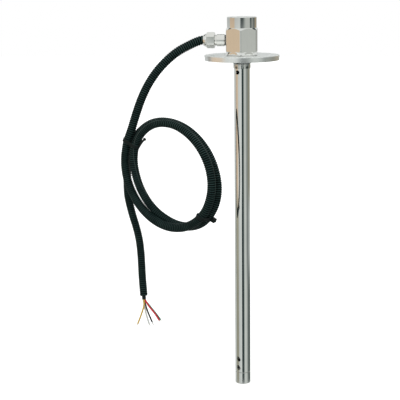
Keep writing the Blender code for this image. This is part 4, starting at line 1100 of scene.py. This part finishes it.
# The surround's tones by the angle from the camera's direction towards the right, -180 to 180
LOWER_TONES = (
    *tan_side(0.355, 0.345, 0.27), (-56, 0.6, 0.62, 0.6), (-20, 0.74, 0.76, 0.74), (-11, 0.7, 0.74, 0.72),
    (-7, 0.03, 0.048, 0.048), (17, 0.035, 0.052, 0.052), (25, 0.3, 0.33, 0.31), (33, 0.66, 0.69, 0.66),
    (54, 0.66, 0.69, 0.66), (66, 0.54, 0.57, 0.54), (76, 0.38, 0.4, 0.38), (88, 0.2, 0.215, 0.205),
    (100, 0.1, 0.125, 0.12), (126, 0.11, 0.13, 0.125), (146, 0.3, 0.31, 0.29), (180, *BACK_GREY),
)
MIDDLE_TONES = (
    *tan_side(0.42, 0.4, 0.31), (-56, 0.62, 0.64, 0.62), (-20, 0.78, 0.8, 0.78), (-11, 0.74, 0.78, 0.76),
    (-7, 0.032, 0.05, 0.05), (15, 0.04, 0.058, 0.058), (23, 0.3, 0.33, 0.31), (31, 0.64, 0.67, 0.64),
    (50, 0.66, 0.69, 0.66), (60, 0.5, 0.52, 0.5), (72, 0.27, 0.29, 0.28), (86, 0.22, 0.24, 0.23),
    (102, 0.38, 0.4, 0.39), (122, 0.62, 0.64, 0.62), (180, *BACK_GREY),
)
UPPER_TONES = (
    (-180, *BACK_GREY), (-108, *SIDE_GREY), (-103, *UPPER_TAN), (-62, *UPPER_TAN), (-57, 0.7, 0.72, 0.7),
    (-20, 0.8, 0.82, 0.8), (-8, 0.76, 0.8, 0.78), (-4, 0.018, 0.034, 0.034), (14, 0.022, 0.04, 0.04),
    (22, 0.26, 0.29, 0.27), (30, 0.61, 0.64, 0.61), (48, 0.63, 0.66, 0.63), (60, 0.43, 0.45, 0.43),
    (72, 0.28, 0.3, 0.28), (90, 0.28, 0.29, 0.25), (106, 0.29, 0.28, 0.21), (128, 0.36, 0.34, 0.27),
    (150, 0.52, 0.52, 0.48), (180, *BACK_GREY),
)
HEAD_TONES = (
    *tan_side(0.77, 0.6, 0.43), (-56, 0.68, 0.7, 0.68), (-20, 0.8, 0.82, 0.8), (-14, 0.74, 0.78, 0.76),
    (-10, 0.26, 0.28, 0.28), (-1, 0.24, 0.26, 0.26), (8, 0.3, 0.32, 0.31), (18, 0.44, 0.47, 0.45),
    (30, 0.57, 0.59, 0.56), (63, 0.58, 0.6, 0.57), (67, 0.17, 0.2, 0.195), (78, 0.2, 0.22, 0.21),
    (83, 0.36, 0.38, 0.36), (96, 0.32, 0.33, 0.31), (100, 0.2, 0.22, 0.21), (114, 0.2, 0.21, 0.2),
    (120, 0.38, 0.32, 0.23), (146, 0.4, 0.34, 0.25), (154, *BACK_GREY), (180, *BACK_GREY),
)
HEAD_TOP_TONES = (
    (-180, 0.52, 0.54, 0.53), (-108, 0.54, 0.56, 0.55), (-103, *HEAD_TOP_TAN), (-60, *HEAD_TOP_TAN),
    (-56, 0.58, 0.6, 0.58), (-20, 0.66, 0.68, 0.66), (-13, 0.6, 0.64, 0.62), (-10, 0.07, 0.09, 0.09),
    (2, 0.045, 0.06, 0.06), (10, 0.09, 0.11, 0.105), (20, 0.34, 0.37, 0.35), (30, 0.56, 0.58, 0.55),
    (62, 0.56, 0.58, 0.55), (66, 0.06, 0.08, 0.078), (77, 0.1, 0.12, 0.115), (83, 0.33, 0.35, 0.33),
    (96, 0.28, 0.29, 0.27), (100, 0.12, 0.14, 0.13), (114, 0.15, 0.16, 0.15), (120, 0.36, 0.31, 0.22),
    (146, 0.4, 0.34, 0.25), (154, 0.56, 0.57, 0.56), (180, 0.56, 0.57, 0.56),
)
# Going up the surround: the heights between which each set of tones takes over from the one below it
TONES = (
    (None, LOWER_TONES),
    ((-0.45, -0.36), MIDDLE_TONES),
    ((-0.31, -0.25), UPPER_TONES),
    ((-0.064, -0.052), HEAD_TONES),
    ((-0.006, 0.016), HEAD_TOP_TONES),
    ((0.055, 0.13), ((-180, 0.84, 0.86, 0.85), (180, 0.84, 0.86, 0.85))),
    ((0.44, 0.5), ((-180, 0.06, 0.08, 0.08), (-125, 0.06, 0.08, 0.08), (-105, 0.86, 0.88, 0.87),
                    (105, 0.86, 0.88, 0.87), (125, 0.06, 0.08, 0.08), (180, 0.06, 0.08, 0.08))),
    ((0.76, 0.82), ((-180, 0.88, 0.9, 0.89), (180, 0.88, 0.9, 0.89))),
)


def make_surround():
    """A round wall of soft light that the metal mirrors. The camera doesn't see it."""
    bm = bmesh.new()
    rings = [[bm.verts.new((SURROUND_R * cos(a), SURROUND_R * sin(a), z)) for a in circle(SURROUND_SIDES)]
             for z in (FLOOR_Z, SURROUND_TOP)]
    for k in range(SURROUND_SIDES):
        j = (k + 1) % SURROUND_SIDES
        bm.faces.new((rings[0][k], rings[0][j], rings[1][j], rings[1][k]))
    mat = bpy.data.materials.new("surround")
    tree = empty_tree(mat)
    x, y, height = wired(tree, "SeparateXYZ", [(0, own_coords(tree))])
    angle = calc(tree, "ARCTAN2", x, calc(tree, "MULTIPLY", y, -1.0))
    turned = calc(tree, "SUBTRACT", angle, radians(CAMERA_AZIMUTH_DEG))
    share = spread(tree, calc(tree, "WRAP", turned, pi, -pi), -pi, pi, "From")
    tone = None
    for heights, tones in TONES:
        band = ramp(tree, share, [((degrees + 180.0) / 360.0, colour) for degrees, *colour in tones])
        if tone is None:
            tone = band
            continue
        rise = spread(tree, height, *heights, "From", interpolation_type="SMOOTHSTEP")
        tone = wired(tree, "Mix", [(0, rise), (6, tone), (7, band)], data_type="RGBA")[2]
    wired(tree, "OutputMaterial", [("Surface", emit(tree, tone))])
    wall = new_object("surround", bm, [mat])
    wall.visible_camera = False
    wall.visible_shadow = False


def make_world():
    """White where the camera looks past everything, and a soft sky for the rest."""
    world = bpy.data.worlds.new("studio")
    bpy.context.scene.world = world
    tree = empty_tree(world)
    white, sky = [wired(tree, "Background", [("Color", colour), ("Strength", 1.0)])[0]
                  for colour in (WHITE, SKY)]
    mix = wired(tree, "MixShader", [(0, camera_sees(tree)), (1, sky), (2, white)])[0]
    wired(tree, "OutputWorld", [("Surface", mix)])


def make_lamp(name, at, target, size, power):
    data = bpy.data.lights.new(name, "AREA")
    data.shape = "RECTANGLE"
    data.size, data.size_y = size
    data.energy = power
    lamp = linked(name, data)
    lamp.location = at
    lamp.rotation_euler = (Vector(target) - Vector(at)).to_track_quat("-Z", "Y").to_euler()


def make_stage():
    make_camera()
    make_floor()
    make_surround()
    make_world()
    make_lamp("key", (-0.55, -0.75, 0.75), (-0.05, 0.0, -0.1), (0.45, 0.45), 3.0)
    make_lamp("fill", (0.6, -0.6, 0.8), (0.0, 0.0, 0.0), (0.35, 0.35), 2.0)


make_stage()
make_cords()
make_metal()
dress_inside()
bpy.context.scene.view_settings.view_transform = "Standard"
